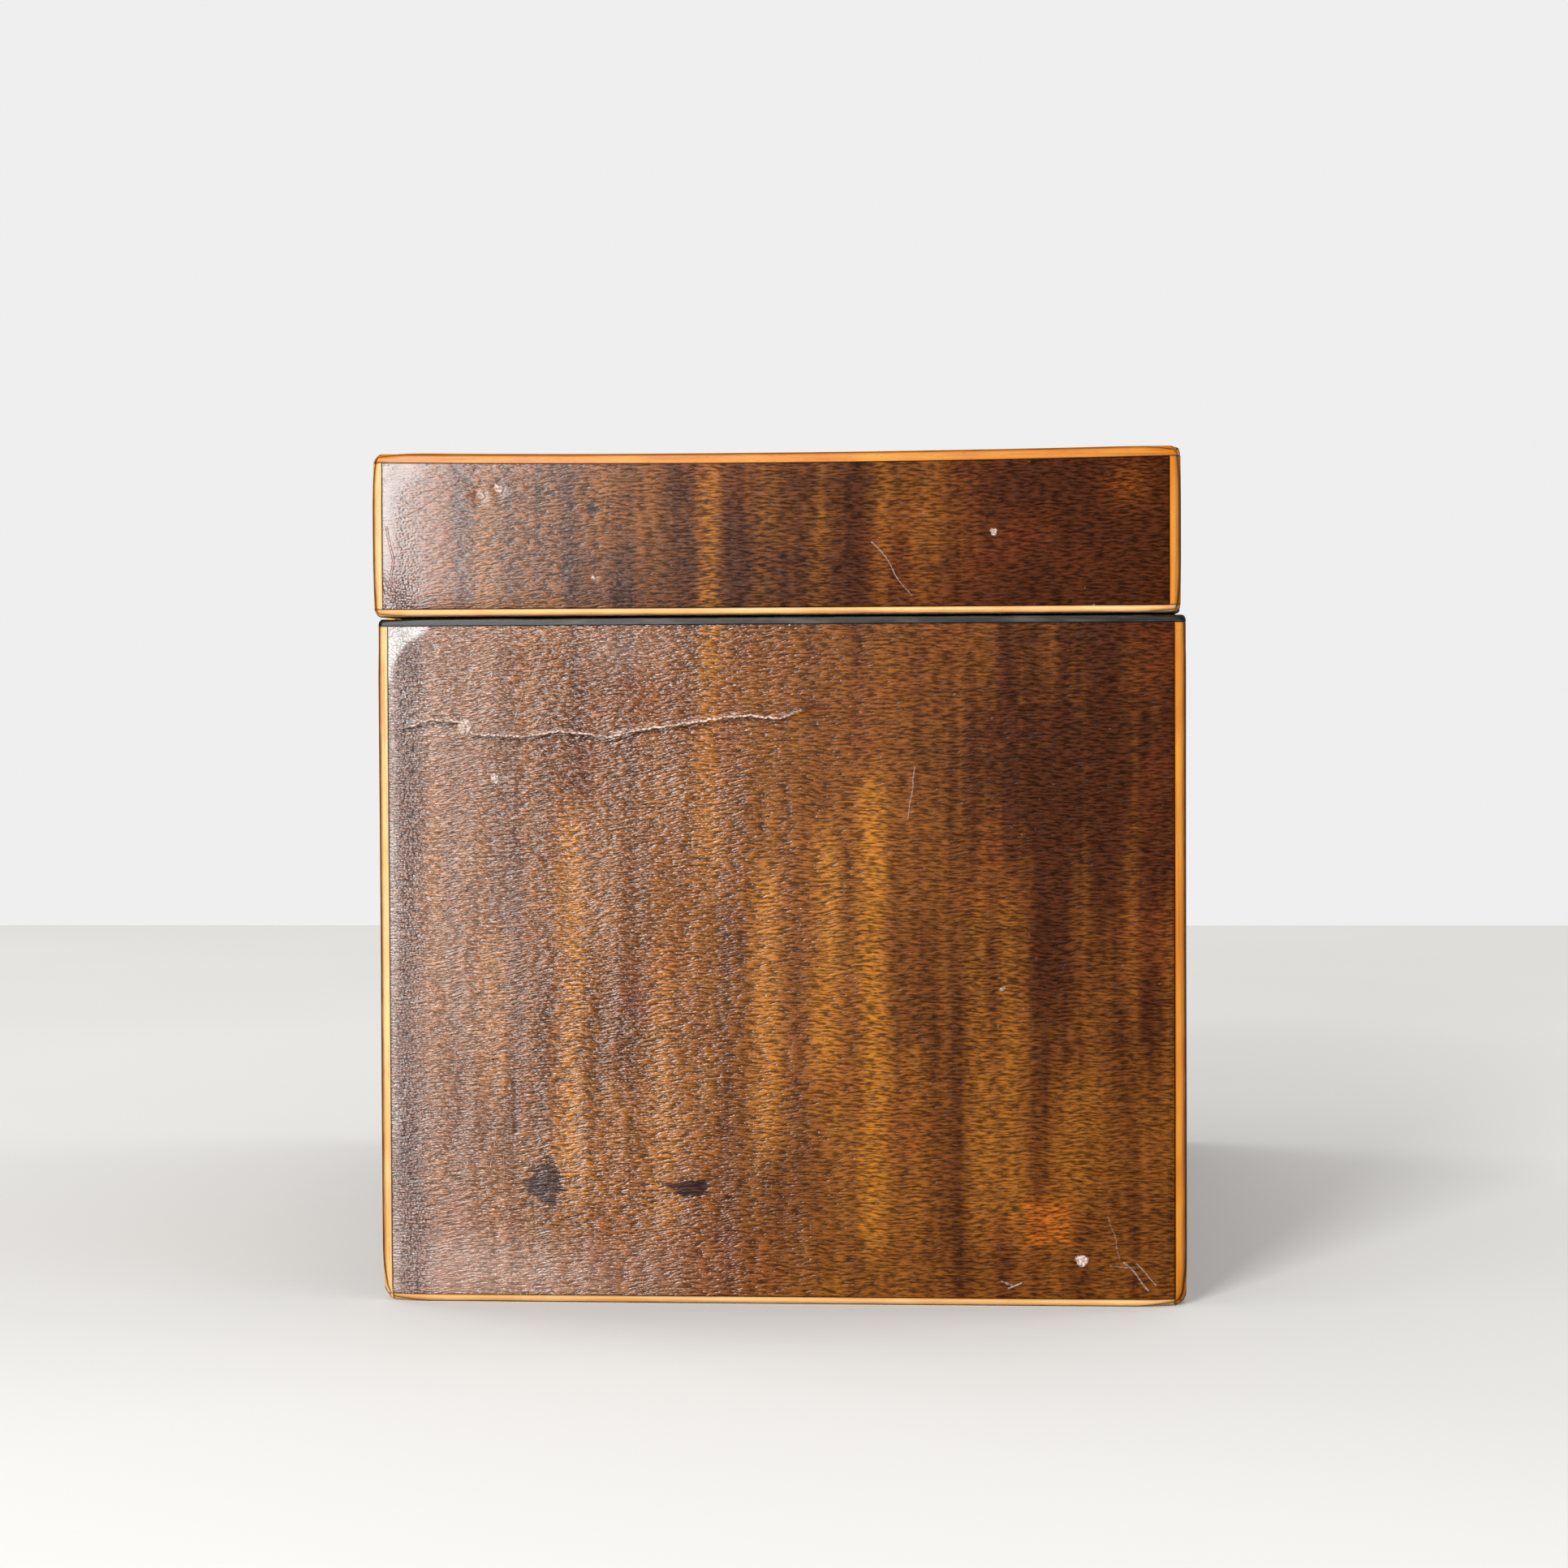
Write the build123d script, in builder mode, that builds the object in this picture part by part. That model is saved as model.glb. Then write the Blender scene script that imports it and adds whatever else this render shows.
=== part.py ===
from build123d import *
import os

# Tea caddy of about 1800, built as a cabinetmaker builds it.
#
# A veneered softwood box is sawn apart into a body and a lid. Pale edging is let into
# its arrises, and the body's rim is faced with a black slip. Inside, a divider makes two
# foil-lined compartments, each with a loose inner lid and a turned knob. Two butt hinges
# join the lid at the back, and a box lock with a sliding bolt holds it at the front.
#
# Millimetres. +Z is up, the keyhole faces -Y and the hinges are at +Y. The origin is the
# middle of the whole box's outline, on the face that it stands on. "Left" is -X.

os.makedirs("parts", exist_ok=True)

# Overall sizes
width = 188.0
depth = 120.0
body_height = 101.8
lid_height = 24.6
seam_gap = 0.35  # light shows through the closed seam
lid_set_back = 0.7  # the closed lid lies this far behind the body

# Woodwork
veneer = 1.0
wall_board = 8.0
bottom_board = 7.0
lid_wall_board = 7.0
lid_top_board = 7.0
rim_facing_height = 1.05
corner_edging = 1.8  # a square post at each upright arris
edging_depth = 1.8  # how far the level edgings reach into the box
base_edging_height = 1.1
lid_lower_edging_height = 1.1
lid_top_edging_height = 1.7
arris_radius = 0.5
glue_line = 0.01  # between two lengths that meet in a joint
lid_lining = 0.8

# Compartments and inner lids
divider = 5.0
lining_board = 2.5
foil = 0.3
foil_drop = 0.4  # the foil stops this far under the lining boards' top
inner_lid_thickness = 4.5
inner_lid_drop = 4.0  # from the rim down to the inner lids and the divider
inner_lid_play = 0.5
seat_gap = 0.1
knob_height = 10.5
knob_radius = 4.2
knob_neck_radius = 1.9
knob_foot_radius = 3.4
knob_foot_height = 0.9
knob_tenon_radius = 1.6

# Hinges
hinge_length = 24.0
hinge_from_end = 40.0  # a hinge's middle, from the box's end
hinge_axis_out = 0.9  # the pin, behind the lid's back face
leaf_width = 7.5  # from the pin to the leaf's inner edge
leaf_thickness = 1.1
knuckle_radius = 1.9
knuckle_length = 8.0  # the lid's knuckle, between the body's two
knuckle_side_gap = 0.15
knuckle_turning_gap = 0.25
hinge_seat_play = 0.1
pin_radius = 0.7
pin_running_gap = 0.05
pin_tight_gap = 0.02
leaf_screw_from_pin = 4.8
leaf_screw_pitch = 8.0

# Lock
case_width = 28.0
case_height = 20.0
case_thickness = 6.0
case_plate = 0.8
selvedge_width = 36.0
selvedge_lip = 0.5  # the selvedge plate, in front of the case
bolt_length = 13.0
bolt_height = 4.2
bolt_play = 0.3
bolt_nose_height = 1.6
bolt_nose_thickness = 1.0
bolt_tip_gap = 0.5  # from the unlocked bolt's tip to the staple
bolt_reach = 1.3  # how far the shot bolt stands past the staple
bolt_under_selvedge = 0.4
keyhole_drop = 13.0  # the keyhole's round part, under the rim facing
keyhole_radius = 1.5
keyhole_slot_width = 1.5
keyhole_slot_length = 4.2
key_pin_radius = 0.7
escutcheon_width = 9.0
escutcheon_rise = 5.0
escutcheon_fall = 8.0
staple_x = 5.7
staple_thickness = 1.4
staple_width = 3.2
staple_drop = 6.2
staple_eye_width = 1.6
staple_eye_height = 2.6
staple_side_gap = 0.8  # staple to slot, along X
strike_length = 24.0
strike_width = 5.0
strike_thickness = 1.0

# Screws and pins: head radius, cone height, shank radius, length
hinge_screw = (1.3, 0.8, 0.65, 5.5)
strike_screw = (1.2, 0.8, 0.6, 4.5)
lock_nail = (0.9, 0.4, 0.5, 5.0)
screw_hole_play = 0.03
driver_slot_width = 0.35
driver_slot_depth = 0.4
tenon_play = 0.03

# Places worked out from the sizes
half_width = width / 2
half_depth = depth / 2
body_y = -(lid_set_back + hinge_axis_out + knuckle_radius) / 2
lid_y = body_y + lid_set_back
front_y = body_y - half_depth
back_y = body_y + half_depth
lid_front_y = lid_y - half_depth
lid_back_y = lid_y + half_depth
inner_front_y = front_y + veneer + wall_board
inner_back_y = back_y - veneer - wall_board
inner_x = half_width - veneer - wall_board
rim_under = body_height - rim_facing_height
lid_bottom = body_height + seam_gap
lid_top = lid_bottom + lid_height
lid_board_under = lid_top - veneer - lid_top_board
lid_edging_low = lid_bottom + lid_lower_edging_height
lid_edging_high = lid_top - lid_top_edging_height
lid_inner_x = half_width - veneer - lid_wall_board
lid_inner_front_y = lid_front_y + veneer + lid_wall_board
lid_inner_back_y = lid_back_y - veneer - lid_wall_board
board_x = half_width - veneer
axis_y = lid_back_y + hinge_axis_out
axis_z = body_height + seam_gap / 2
inner_lid_top = body_height - inner_lid_drop
inner_lid_under = inner_lid_top - inner_lid_thickness
seat_z = inner_lid_under - seat_gap
case_front_y = inner_front_y - case_thickness
staple_y = inner_front_y - case_thickness / 2
keyhole_z = rim_under - keyhole_drop
hinge_centres = {"left": -half_width + hinge_from_end, "right": half_width - hinge_from_end}
sides = ("front", "right", "back", "left")
corners = {
    "front_left": (-1, -1),
    "front_right": (1, -1),
    "back_right": (1, 1),
    "back_left": (-1, 1),
}
compartments = {"left": -1, "right": 1}


def save(piece, name):
    """Label a finished piece and write it to its own file."""
    piece.part.label = name
    export_step(piece.part, f"parts/{name}.step")


def about(middle, half_length):
    """The two ends of a span, from its middle and half its length."""
    return (middle - half_length, middle + half_length)


def slab(x, y, z, mode=Mode.ADD):
    """Add or cut a square-edged block, given its two X, two Y and two Z values."""
    with BuildSketch(Plane.XY.offset(z[0])) as outline:
        with Locations(((x[0] + x[1]) / 2, (y[0] + y[1]) / 2)):
            Rectangle(x[1] - x[0], y[1] - y[0])
    extrude(outline.sketch, amount=z[1] - z[0], mode=mode)


def cut_corner_posts(centre_y, z):
    """Cut the four square corners that the upright edgings fill."""
    with BuildSketch(Plane.XY.offset(z[0])) as posts:
        with Locations((0, centre_y)):
            with GridLocations(width - corner_edging, depth - corner_edging, 2, 2):
                Rectangle(corner_edging, corner_edging)
    extrude(posts.sketch, amount=z[1] - z[0], mode=Mode.SUBTRACT)


def cut_edging_rebate(centre_y, z):
    """Cut the rebate that a level edging fills, all round the box."""
    with BuildSketch(Plane.XY.offset(z[0])) as rebate:
        with Locations((0, centre_y)):
            Rectangle(width, depth)
            Rectangle(width - 2 * edging_depth, depth - 2 * edging_depth, mode=Mode.SUBTRACT)
    extrude(rebate.sketch, amount=z[1] - z[0], mode=Mode.SUBTRACT)


def frame_corners(inset, centre_y):
    """The corners of the box's outline, moved in by inset, from front left round to back left."""
    x = half_width - inset
    y = half_depth - inset
    return [
        Vector(-x, centre_y - y),
        Vector(x, centre_y - y),
        Vector(x, centre_y + y),
        Vector(-x, centre_y + y),
    ]


def mitred_length(side, band, centre_y, z):
    """Add one side of a frame of the box's outline, band wide, with a mitre at each end."""
    first = sides.index(side)
    second = (first + 1) % len(sides)
    outer = frame_corners(0, centre_y)
    inner = frame_corners(band, centre_y)
    glue = (outer[second] - outer[first]).normalized() * glue_line
    with BuildSketch(Plane.XY.offset(z[0])) as outline:
        with BuildLine():
            Polyline(
                outer[first] + glue,
                outer[second] - glue,
                inner[second] - glue,
                inner[first] + glue,
                close=True,
            )
        make_face()
    extrude(outline.sketch, amount=z[1] - z[0])


def wall_veneer(side, centre_y, z):
    """Add the veneer of one side, between the upright edgings."""
    x = half_width - corner_edging
    y = half_depth - corner_edging
    if side == "front":
        slab((-x, x), (centre_y - half_depth, centre_y - half_depth + veneer), z)
    elif side == "back":
        slab((-x, x), (centre_y + half_depth - veneer, centre_y + half_depth), z)
    elif side == "right":
        slab((half_width - veneer, half_width), about(centre_y, y), z)
    else:
        slab((-half_width, veneer - half_width), about(centre_y, y), z)


def hinge_rod(x, radius, mode=Mode.ADD):
    """Add or cut a round rod about the hinge line, between two X values."""
    with BuildSketch(Plane.YZ.offset(x[0])) as circle:
        with Locations((axis_y, axis_z)):
            Circle(radius)
    extrude(circle.sketch, amount=x[1] - x[0], mode=mode)


def cut_hinge_seats(z):
    """Cut the recess of each leaf, and the scoop that its knuckles turn in."""
    for hinge_x in hinge_centres.values():
        x = about(hinge_x, hinge_length / 2 + hinge_seat_play)
        slab(x, (axis_y - leaf_width, axis_y), z, Mode.SUBTRACT)
        hinge_rod(x, knuckle_radius + knuckle_turning_gap, Mode.SUBTRACT)


def leaf_screw_places(hinge_x):
    """The X and Y of the three screws of one hinge leaf."""
    y = axis_y - leaf_screw_from_pin
    return [(hinge_x + step * leaf_screw_pitch, y) for step in (-1, 0, 1)]


def screws(size, places, z, way, play=0.0, mode=Mode.ADD):
    """Add screws with their heads at z, or cut their holes; way is 1 for up and -1 for down."""
    head, cone, shank, length = size
    for x, y in places:
        with BuildSketch(Plane.XZ.offset(-y)) as outline:
            with BuildLine():
                Polyline(
                    (x, z),
                    (x + head + play, z),
                    (x + shank + play, z + way * cone),
                    (x + shank + play, z + way * (length + play)),
                    (x, z + way * (length + play)),
                    close=True,
                )
            make_face()
        revolve(outline.sketch, axis=Axis((x, y, z), (0, 0, 1)), mode=mode)


def cut_driver_slots(size, places, z, way):
    """Cut a turning slot across each screw head; way is the way that the screw is driven."""
    head = size[0]
    slot_z = sorted((z, z + way * driver_slot_depth))
    for x, y in places:
        slab(about(x, head), about(y, driver_slot_width / 2), slot_z, Mode.SUBTRACT)


def cut_keyhole(y):
    """Cut the keyhole, a round hole over a slot, along Y."""
    slot_middle_z = keyhole_z - keyhole_slot_length / 2
    with BuildSketch(Plane.XZ.offset(-y[0])) as outline:
        with Locations((0, keyhole_z)):
            Circle(keyhole_radius)
        with Locations((0, slot_middle_z)):
            Rectangle(keyhole_slot_width, keyhole_slot_length)
    extrude(outline.sketch, amount=y[0] - y[1], mode=Mode.SUBTRACT)


def escutcheon_shape(mode=Mode.ADD):
    """Add or cut the kite-shaped inlay round the keyhole, through the front veneer."""
    with BuildSketch(Plane.XZ.offset(-front_y)) as outline:
        with BuildLine():
            Polyline(
                (0, keyhole_z + escutcheon_rise),
                (escutcheon_width / 2, keyhole_z),
                (0, keyhole_z - escutcheon_fall),
                (-escutcheon_width / 2, keyhole_z),
                close=True,
            )
        make_face()
    extrude(outline.sketch, amount=-veneer, mode=mode)


# ---- Edging, let into the arrises ----

body_post_z = (0, rim_under)
lid_post_z = (lid_edging_low, lid_edging_high)
base_edging_z = (0, base_edging_height)
lid_lower_edging_z = (lid_bottom, lid_edging_low)
lid_top_edging_z = (lid_edging_high, lid_top)
rim_facing_z = (rim_under, body_height)
body_leaf_z = (body_height - leaf_thickness, body_height)
lid_leaf_z = (lid_bottom, lid_bottom + leaf_thickness)
strike_x = (-strike_length / 2, strike_length / 2)
strike_y = about(staple_y, strike_width / 2)
strike_z = (lid_bottom, lid_bottom + strike_thickness)

for part_name, centre_y, post_z in (("body", body_y, body_post_z), ("lid", lid_y, lid_post_z)):
    for corner, (x_way, y_way) in corners.items():
        post_x = x_way * (half_width - corner_edging / 2)
        post_y = centre_y + y_way * (half_depth - corner_edging / 2)
        with BuildPart() as corner_post:
            slab(about(post_x, corner_edging / 2), about(post_y, corner_edging / 2), post_z)
            outward = Vector(x_way, y_way, 0)
            arris = corner_post.edges().filter_by(Axis.Z).sort_by(lambda edge: edge.center().dot(outward))[-1]
            fillet(arris, radius=arris_radius)
        save(corner_post, f"{part_name}_edging_{corner}")

with BuildPart() as base_edging:
    level_x = half_width - corner_edging
    level_y = half_depth - corner_edging
    slab((-level_x, level_x), (front_y, front_y + edging_depth), base_edging_z)
    slab((-level_x, level_x), (back_y - edging_depth, back_y), base_edging_z)
    slab((-half_width, edging_depth - half_width), about(body_y, level_y), base_edging_z)
    slab((half_width - edging_depth, half_width), about(body_y, level_y), base_edging_z)
save(base_edging, "base_edging")

with BuildPart() as lid_lower_edging:
    for side in sides:
        mitred_length(side, edging_depth, lid_y, lid_lower_edging_z)
    cut_hinge_seats(lid_leaf_z)
    slab(strike_x, strike_y, strike_z, Mode.SUBTRACT)
save(lid_lower_edging, "lid_lower_edging")

with BuildPart() as lid_top_edging:
    for side in sides:
        mitred_length(side, edging_depth, lid_y, lid_top_edging_z)
save(lid_top_edging, "lid_top_edging")

# ---- The black facing of the body's rim ----

selvedge_x = (-selvedge_width / 2, selvedge_width / 2)
selvedge_y = (case_front_y - selvedge_lip, inner_front_y)

for side in sides:
    with BuildPart() as rim_facing:
        mitred_length(side, veneer + wall_board, body_y, rim_facing_z)
        if side == "front":
            slab(selvedge_x, selvedge_y, rim_facing_z, Mode.SUBTRACT)
        if side == "back":
            cut_hinge_seats(body_leaf_z)
    save(rim_facing, f"rim_facing_{side}")

# ---- Veneers ----

for side in sides:
    with BuildPart() as body_veneer:
        wall_veneer(side, body_y, (base_edging_height, rim_under))
        if side == "front":
            escutcheon_shape(Mode.SUBTRACT)
        if side == "back":
            cut_hinge_seats(body_leaf_z)
    save(body_veneer, f"body_veneer_{side}")

for side in sides:
    with BuildPart() as lid_veneer:
        wall_veneer(side, lid_y, lid_post_z)
        if side == "back":
            cut_hinge_seats(lid_leaf_z)
    save(lid_veneer, f"lid_veneer_{side}")

with BuildPart() as lid_veneer_top:
    top_x = half_width - edging_depth
    top_y = half_depth - edging_depth
    slab((-top_x, top_x), about(lid_y, top_y), (lid_top - veneer, lid_top))
save(lid_veneer_top, "lid_veneer_top")

# ---- Carcass of the body ----

carcass_z = (bottom_board, rim_under)
case_x = (-case_width / 2, case_width / 2)
case_y = (case_front_y, inner_front_y)
case_z = (rim_under - case_height, rim_under)
nail_x = (selvedge_width + case_width) / 4
nail_places = [(-nail_x, staple_y), (nail_x, staple_y)]

with BuildPart() as carcass_front:
    slab((-board_x, board_x), (front_y + veneer, inner_front_y), carcass_z)
    cut_corner_posts(body_y, body_post_z)
    slab(case_x, case_y, case_z, Mode.SUBTRACT)
    cut_keyhole((front_y, case_front_y))
    screws(lock_nail, nail_places, body_height, -1, screw_hole_play, Mode.SUBTRACT)
save(carcass_front, "carcass_front")

with BuildPart() as carcass_back:
    slab((-board_x, board_x), (inner_back_y, back_y - veneer), carcass_z)
    cut_corner_posts(body_y, body_post_z)
    cut_hinge_seats(body_leaf_z)
    for hinge_x in hinge_centres.values():
        screws(hinge_screw, leaf_screw_places(hinge_x), body_height, -1, screw_hole_play, Mode.SUBTRACT)
save(carcass_back, "carcass_back")

for side, x_way in compartments.items():
    end_x = sorted((x_way * inner_x, x_way * board_x))
    with BuildPart() as carcass_end:
        slab(end_x, (inner_front_y, inner_back_y), carcass_z)
    save(carcass_end, f"carcass_{side}")

with BuildPart() as carcass_bottom:
    slab((-board_x, board_x), (front_y + veneer, back_y - veneer), (0, bottom_board))
    cut_edging_rebate(body_y, base_edging_z)
    cut_corner_posts(body_y, body_post_z)
save(carcass_bottom, "carcass_bottom")

# ---- Compartments ----

with BuildPart() as compartment_divider:
    slab((-divider / 2, divider / 2), (inner_front_y, inner_back_y), (bottom_board, inner_lid_top))
save(compartment_divider, "compartment_divider")

for side, x_way in compartments.items():
    room_x = sorted((x_way * divider / 2, x_way * inner_x))
    clear_x = (room_x[0] + lining_board, room_x[1] - lining_board)
    clear_y = (inner_front_y + lining_board, inner_back_y - lining_board)
    end_board_y = (clear_y[0] + glue_line, clear_y[1] - glue_line)
    lining_z = (bottom_board, seat_z)
    with BuildPart() as lining_boards:
        slab(room_x, (inner_front_y, clear_y[0]), lining_z)
        slab(room_x, (clear_y[1], inner_back_y), lining_z)
        slab((room_x[0], clear_x[0]), end_board_y, lining_z)
        slab((clear_x[1], room_x[1]), end_board_y, lining_z)
    save(lining_boards, f"lining_boards_{side}")

    foil_z = (bottom_board, seat_z - foil_drop)
    foil_inner_x = (clear_x[0] + foil, clear_x[1] - foil)
    foil_inner_y = (clear_y[0] + foil, clear_y[1] - foil)
    with BuildPart() as foil_lining:
        slab(clear_x, clear_y, foil_z)
        slab(foil_inner_x, foil_inner_y, (bottom_board + foil, foil_z[1]), Mode.SUBTRACT)
    save(foil_lining, f"foil_lining_{side}")

# ---- Inner lids and their knobs ----

for side, x_way in compartments.items():
    room_x = sorted((x_way * divider / 2, x_way * inner_x))
    inner_lid_x = (room_x[0] + inner_lid_play, room_x[1] - inner_lid_play)
    inner_lid_y = (inner_front_y + inner_lid_play, inner_back_y - inner_lid_play)
    knob_x = (room_x[0] + room_x[1]) / 2
    with BuildPart() as inner_lid:
        slab(inner_lid_x, inner_lid_y, (inner_lid_under, inner_lid_top))
        with Locations(Plane.XY.offset(inner_lid_top)):
            with Locations((knob_x, body_y)):
                Hole(knob_tenon_radius + tenon_play)
    save(inner_lid, f"inner_lid_{side}")

    ball_z = knob_height - knob_radius
    neck_top_z = ball_z - (knob_radius**2 - knob_neck_radius**2) ** 0.5
    knob_seat = (knob_x, body_y, inner_lid_top)
    with BuildPart() as inner_lid_knob:
        with BuildSketch(Plane(knob_seat, x_dir=(1, 0, 0), z_dir=(0, -1, 0))):
            with BuildLine():
                tenon = Polyline(
                    (0, -inner_lid_thickness),
                    (knob_tenon_radius, -inner_lid_thickness),
                    (knob_tenon_radius, 0),
                    (knob_foot_radius, 0),
                    (knob_foot_radius, knob_foot_height),
                )
                neck = Spline(
                    tenon @ 1,
                    (knob_neck_radius, neck_top_z),
                    tangents=((-1, 0), (ball_z - neck_top_z, knob_neck_radius)),
                )
                ball = ThreePointArc(neck @ 1, (knob_radius, ball_z), (0, knob_height))
                Line(ball @ 1, tenon @ 0)
            make_face()
        revolve(axis=Axis(knob_seat, (0, 0, 1)))
    save(inner_lid_knob, f"inner_lid_knob_{side}")

# ---- Lock ----

# The bolt slides along +X through the staple's eye; its shoulder stops short of the staple.
bolt_travel = bolt_tip_gap + staple_thickness + bolt_reach
bolt_nose_length = bolt_travel - bolt_tip_gap + bolt_play
bolt_tip_x = staple_x - staple_thickness / 2 - bolt_tip_gap
bolt_body_x = (bolt_tip_x - bolt_length, bolt_tip_x - bolt_nose_length)
bolt_top = rim_under - bolt_under_selvedge
bolt_thickness = case_thickness - 2 * case_plate - 2 * bolt_play
bolt_nose_z = bolt_top - bolt_height / 2
case_inner_x = (case_x[0] + case_plate, case_x[1] - case_plate)
case_inner_y = (case_y[0] + case_plate, case_y[1] - case_plate)

with BuildPart() as lock_case:
    slab(case_x, case_y, case_z)
    slab(case_inner_x, case_inner_y, (case_z[0] + case_plate, case_z[1]), Mode.SUBTRACT)
    cut_keyhole((case_y[0], case_inner_y[0]))
save(lock_case, "lock_case")

with BuildPart() as lock_key_pin:
    with BuildSketch(Plane.XZ.offset(-case_inner_y[0])) as pin_outline:
        with Locations((0, keyhole_z)):
            Circle(key_pin_radius)
    extrude(pin_outline.sketch, amount=case_inner_y[0] - case_inner_y[1])
save(lock_key_pin, "lock_key_pin")

with BuildPart() as lock_selvedge:
    slot_x = about(staple_x, staple_thickness / 2 + staple_side_gap)
    slab(selvedge_x, selvedge_y, rim_facing_z)
    slab(slot_x, case_inner_y, rim_facing_z, Mode.SUBTRACT)
    screws(lock_nail, nail_places, body_height, -1, screw_hole_play, Mode.SUBTRACT)
save(lock_selvedge, "lock_selvedge")

with BuildPart() as lock_nails:
    screws(lock_nail, nail_places, body_height, -1)
save(lock_nails, "lock_nails")

with BuildPart() as lock_bolt:
    slab(bolt_body_x, about(staple_y, bolt_thickness / 2), (bolt_top - bolt_height, bolt_top))
    slab(
        (bolt_body_x[1], bolt_tip_x),
        about(staple_y, bolt_nose_thickness / 2),
        about(bolt_nose_z, bolt_nose_height / 2),
    )
save(lock_bolt, "lock_bolt")

with BuildPart() as escutcheon:
    escutcheon_shape()
    cut_keyhole((front_y, front_y + veneer))
save(escutcheon, "keyhole_escutcheon")

strike_screw_x = (staple_x + staple_thickness / 2 + strike_length / 2) / 2
strike_screw_places = [(-strike_screw_x, staple_y), (strike_screw_x, staple_y)]

with BuildPart() as strike_plate:
    slab(strike_x, strike_y, strike_z)
    slab(
        about(staple_x, staple_thickness / 2),
        about(staple_y, staple_width / 2),
        (lid_bottom - staple_drop, lid_bottom),
    )
    slab(
        about(staple_x, staple_thickness),
        about(staple_y, staple_eye_width / 2),
        about(bolt_nose_z, staple_eye_height / 2),
        Mode.SUBTRACT,
    )
    screws(strike_screw, strike_screw_places, lid_bottom, 1, screw_hole_play, Mode.SUBTRACT)
save(strike_plate, "strike_plate")

with BuildPart() as strike_screws:
    screws(strike_screw, strike_screw_places, lid_bottom, 1)
    cut_driver_slots(strike_screw, strike_screw_places, lid_bottom, 1)
save(strike_screws, "strike_screws")

# ---- Carcass of the lid ----

rail_z = (lid_bottom, lid_board_under)

with BuildPart() as lid_rail_front:
    slab((-board_x, board_x), (lid_front_y + veneer, lid_inner_front_y), rail_z)
    cut_edging_rebate(lid_y, lid_lower_edging_z)
    cut_corner_posts(lid_y, lid_post_z)
    slab(strike_x, strike_y, strike_z, Mode.SUBTRACT)
    screws(strike_screw, strike_screw_places, lid_bottom, 1, screw_hole_play, Mode.SUBTRACT)
save(lid_rail_front, "lid_rail_front")

with BuildPart() as lid_rail_back:
    slab((-board_x, board_x), (lid_inner_back_y, lid_back_y - veneer), rail_z)
    cut_edging_rebate(lid_y, lid_lower_edging_z)
    cut_corner_posts(lid_y, lid_post_z)
    cut_hinge_seats(lid_leaf_z)
    for hinge_x in hinge_centres.values():
        screws(hinge_screw, leaf_screw_places(hinge_x), lid_bottom, 1, screw_hole_play, Mode.SUBTRACT)
save(lid_rail_back, "lid_rail_back")

for side, x_way in compartments.items():
    rail_x = sorted((x_way * lid_inner_x, x_way * board_x))
    with BuildPart() as lid_rail_end:
        slab(rail_x, (lid_inner_front_y, lid_inner_back_y), rail_z)
        cut_edging_rebate(lid_y, lid_lower_edging_z)
    save(lid_rail_end, f"lid_rail_{side}")

with BuildPart() as lid_board:
    lid_board_z = (lid_board_under, lid_top - veneer)
    slab((-board_x, board_x), (lid_front_y + veneer, lid_back_y - veneer), lid_board_z)
    cut_edging_rebate(lid_y, lid_top_edging_z)
    cut_corner_posts(lid_y, lid_post_z)
save(lid_board, "lid_top_board")

with BuildPart() as lid_paper:
    slab(
        (-lid_inner_x, lid_inner_x),
        (lid_inner_front_y, lid_inner_back_y),
        (lid_board_under - lid_lining, lid_board_under),
    )
save(lid_paper, "lid_lining")

# ---- Hinges ----

for side, hinge_x in hinge_centres.items():
    whole_x = about(hinge_x, hinge_length / 2)
    lid_knuckle_x = about(hinge_x, knuckle_length / 2 - knuckle_side_gap)
    middle_x = about(hinge_x, knuckle_length / 2)
    leaf_y = (axis_y - leaf_width, axis_y)
    turning_radius = knuckle_radius + knuckle_turning_gap

    with BuildPart() as body_leaf:
        slab(whole_x, leaf_y, body_leaf_z)
        hinge_rod(whole_x, knuckle_radius)
        hinge_rod(middle_x, turning_radius, Mode.SUBTRACT)
        hinge_rod(whole_x, pin_radius + pin_tight_gap, Mode.SUBTRACT)
        screws(hinge_screw, leaf_screw_places(hinge_x), body_height, -1, screw_hole_play, Mode.SUBTRACT)
    save(body_leaf, f"hinge_body_leaf_{side}")

    with BuildPart() as lid_leaf:
        slab(whole_x, leaf_y, lid_leaf_z)
        hinge_rod((whole_x[0], middle_x[0]), turning_radius, Mode.SUBTRACT)
        hinge_rod((middle_x[1], whole_x[1]), turning_radius, Mode.SUBTRACT)
        hinge_rod(lid_knuckle_x, knuckle_radius)
        hinge_rod(whole_x, pin_radius + pin_running_gap, Mode.SUBTRACT)
        screws(hinge_screw, leaf_screw_places(hinge_x), lid_bottom, 1, screw_hole_play, Mode.SUBTRACT)
    save(lid_leaf, f"hinge_lid_leaf_{side}")

    with BuildPart() as hinge_pin:
        hinge_rod(whole_x, pin_radius)
    save(hinge_pin, f"hinge_pin_{side}")

with BuildPart() as body_leaf_screws:
    for hinge_x in hinge_centres.values():
        screws(hinge_screw, leaf_screw_places(hinge_x), body_height, -1)
        cut_driver_slots(hinge_screw, leaf_screw_places(hinge_x), body_height, -1)
save(body_leaf_screws, "hinge_body_screws")

with BuildPart() as lid_leaf_screws:
    for hinge_x in hinge_centres.values():
        screws(hinge_screw, leaf_screw_places(hinge_x), lid_bottom, 1)
        cut_driver_slots(hinge_screw, leaf_screw_places(hinge_x), lid_bottom, 1)
save(lid_leaf_screws, "hinge_lid_screws")
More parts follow.
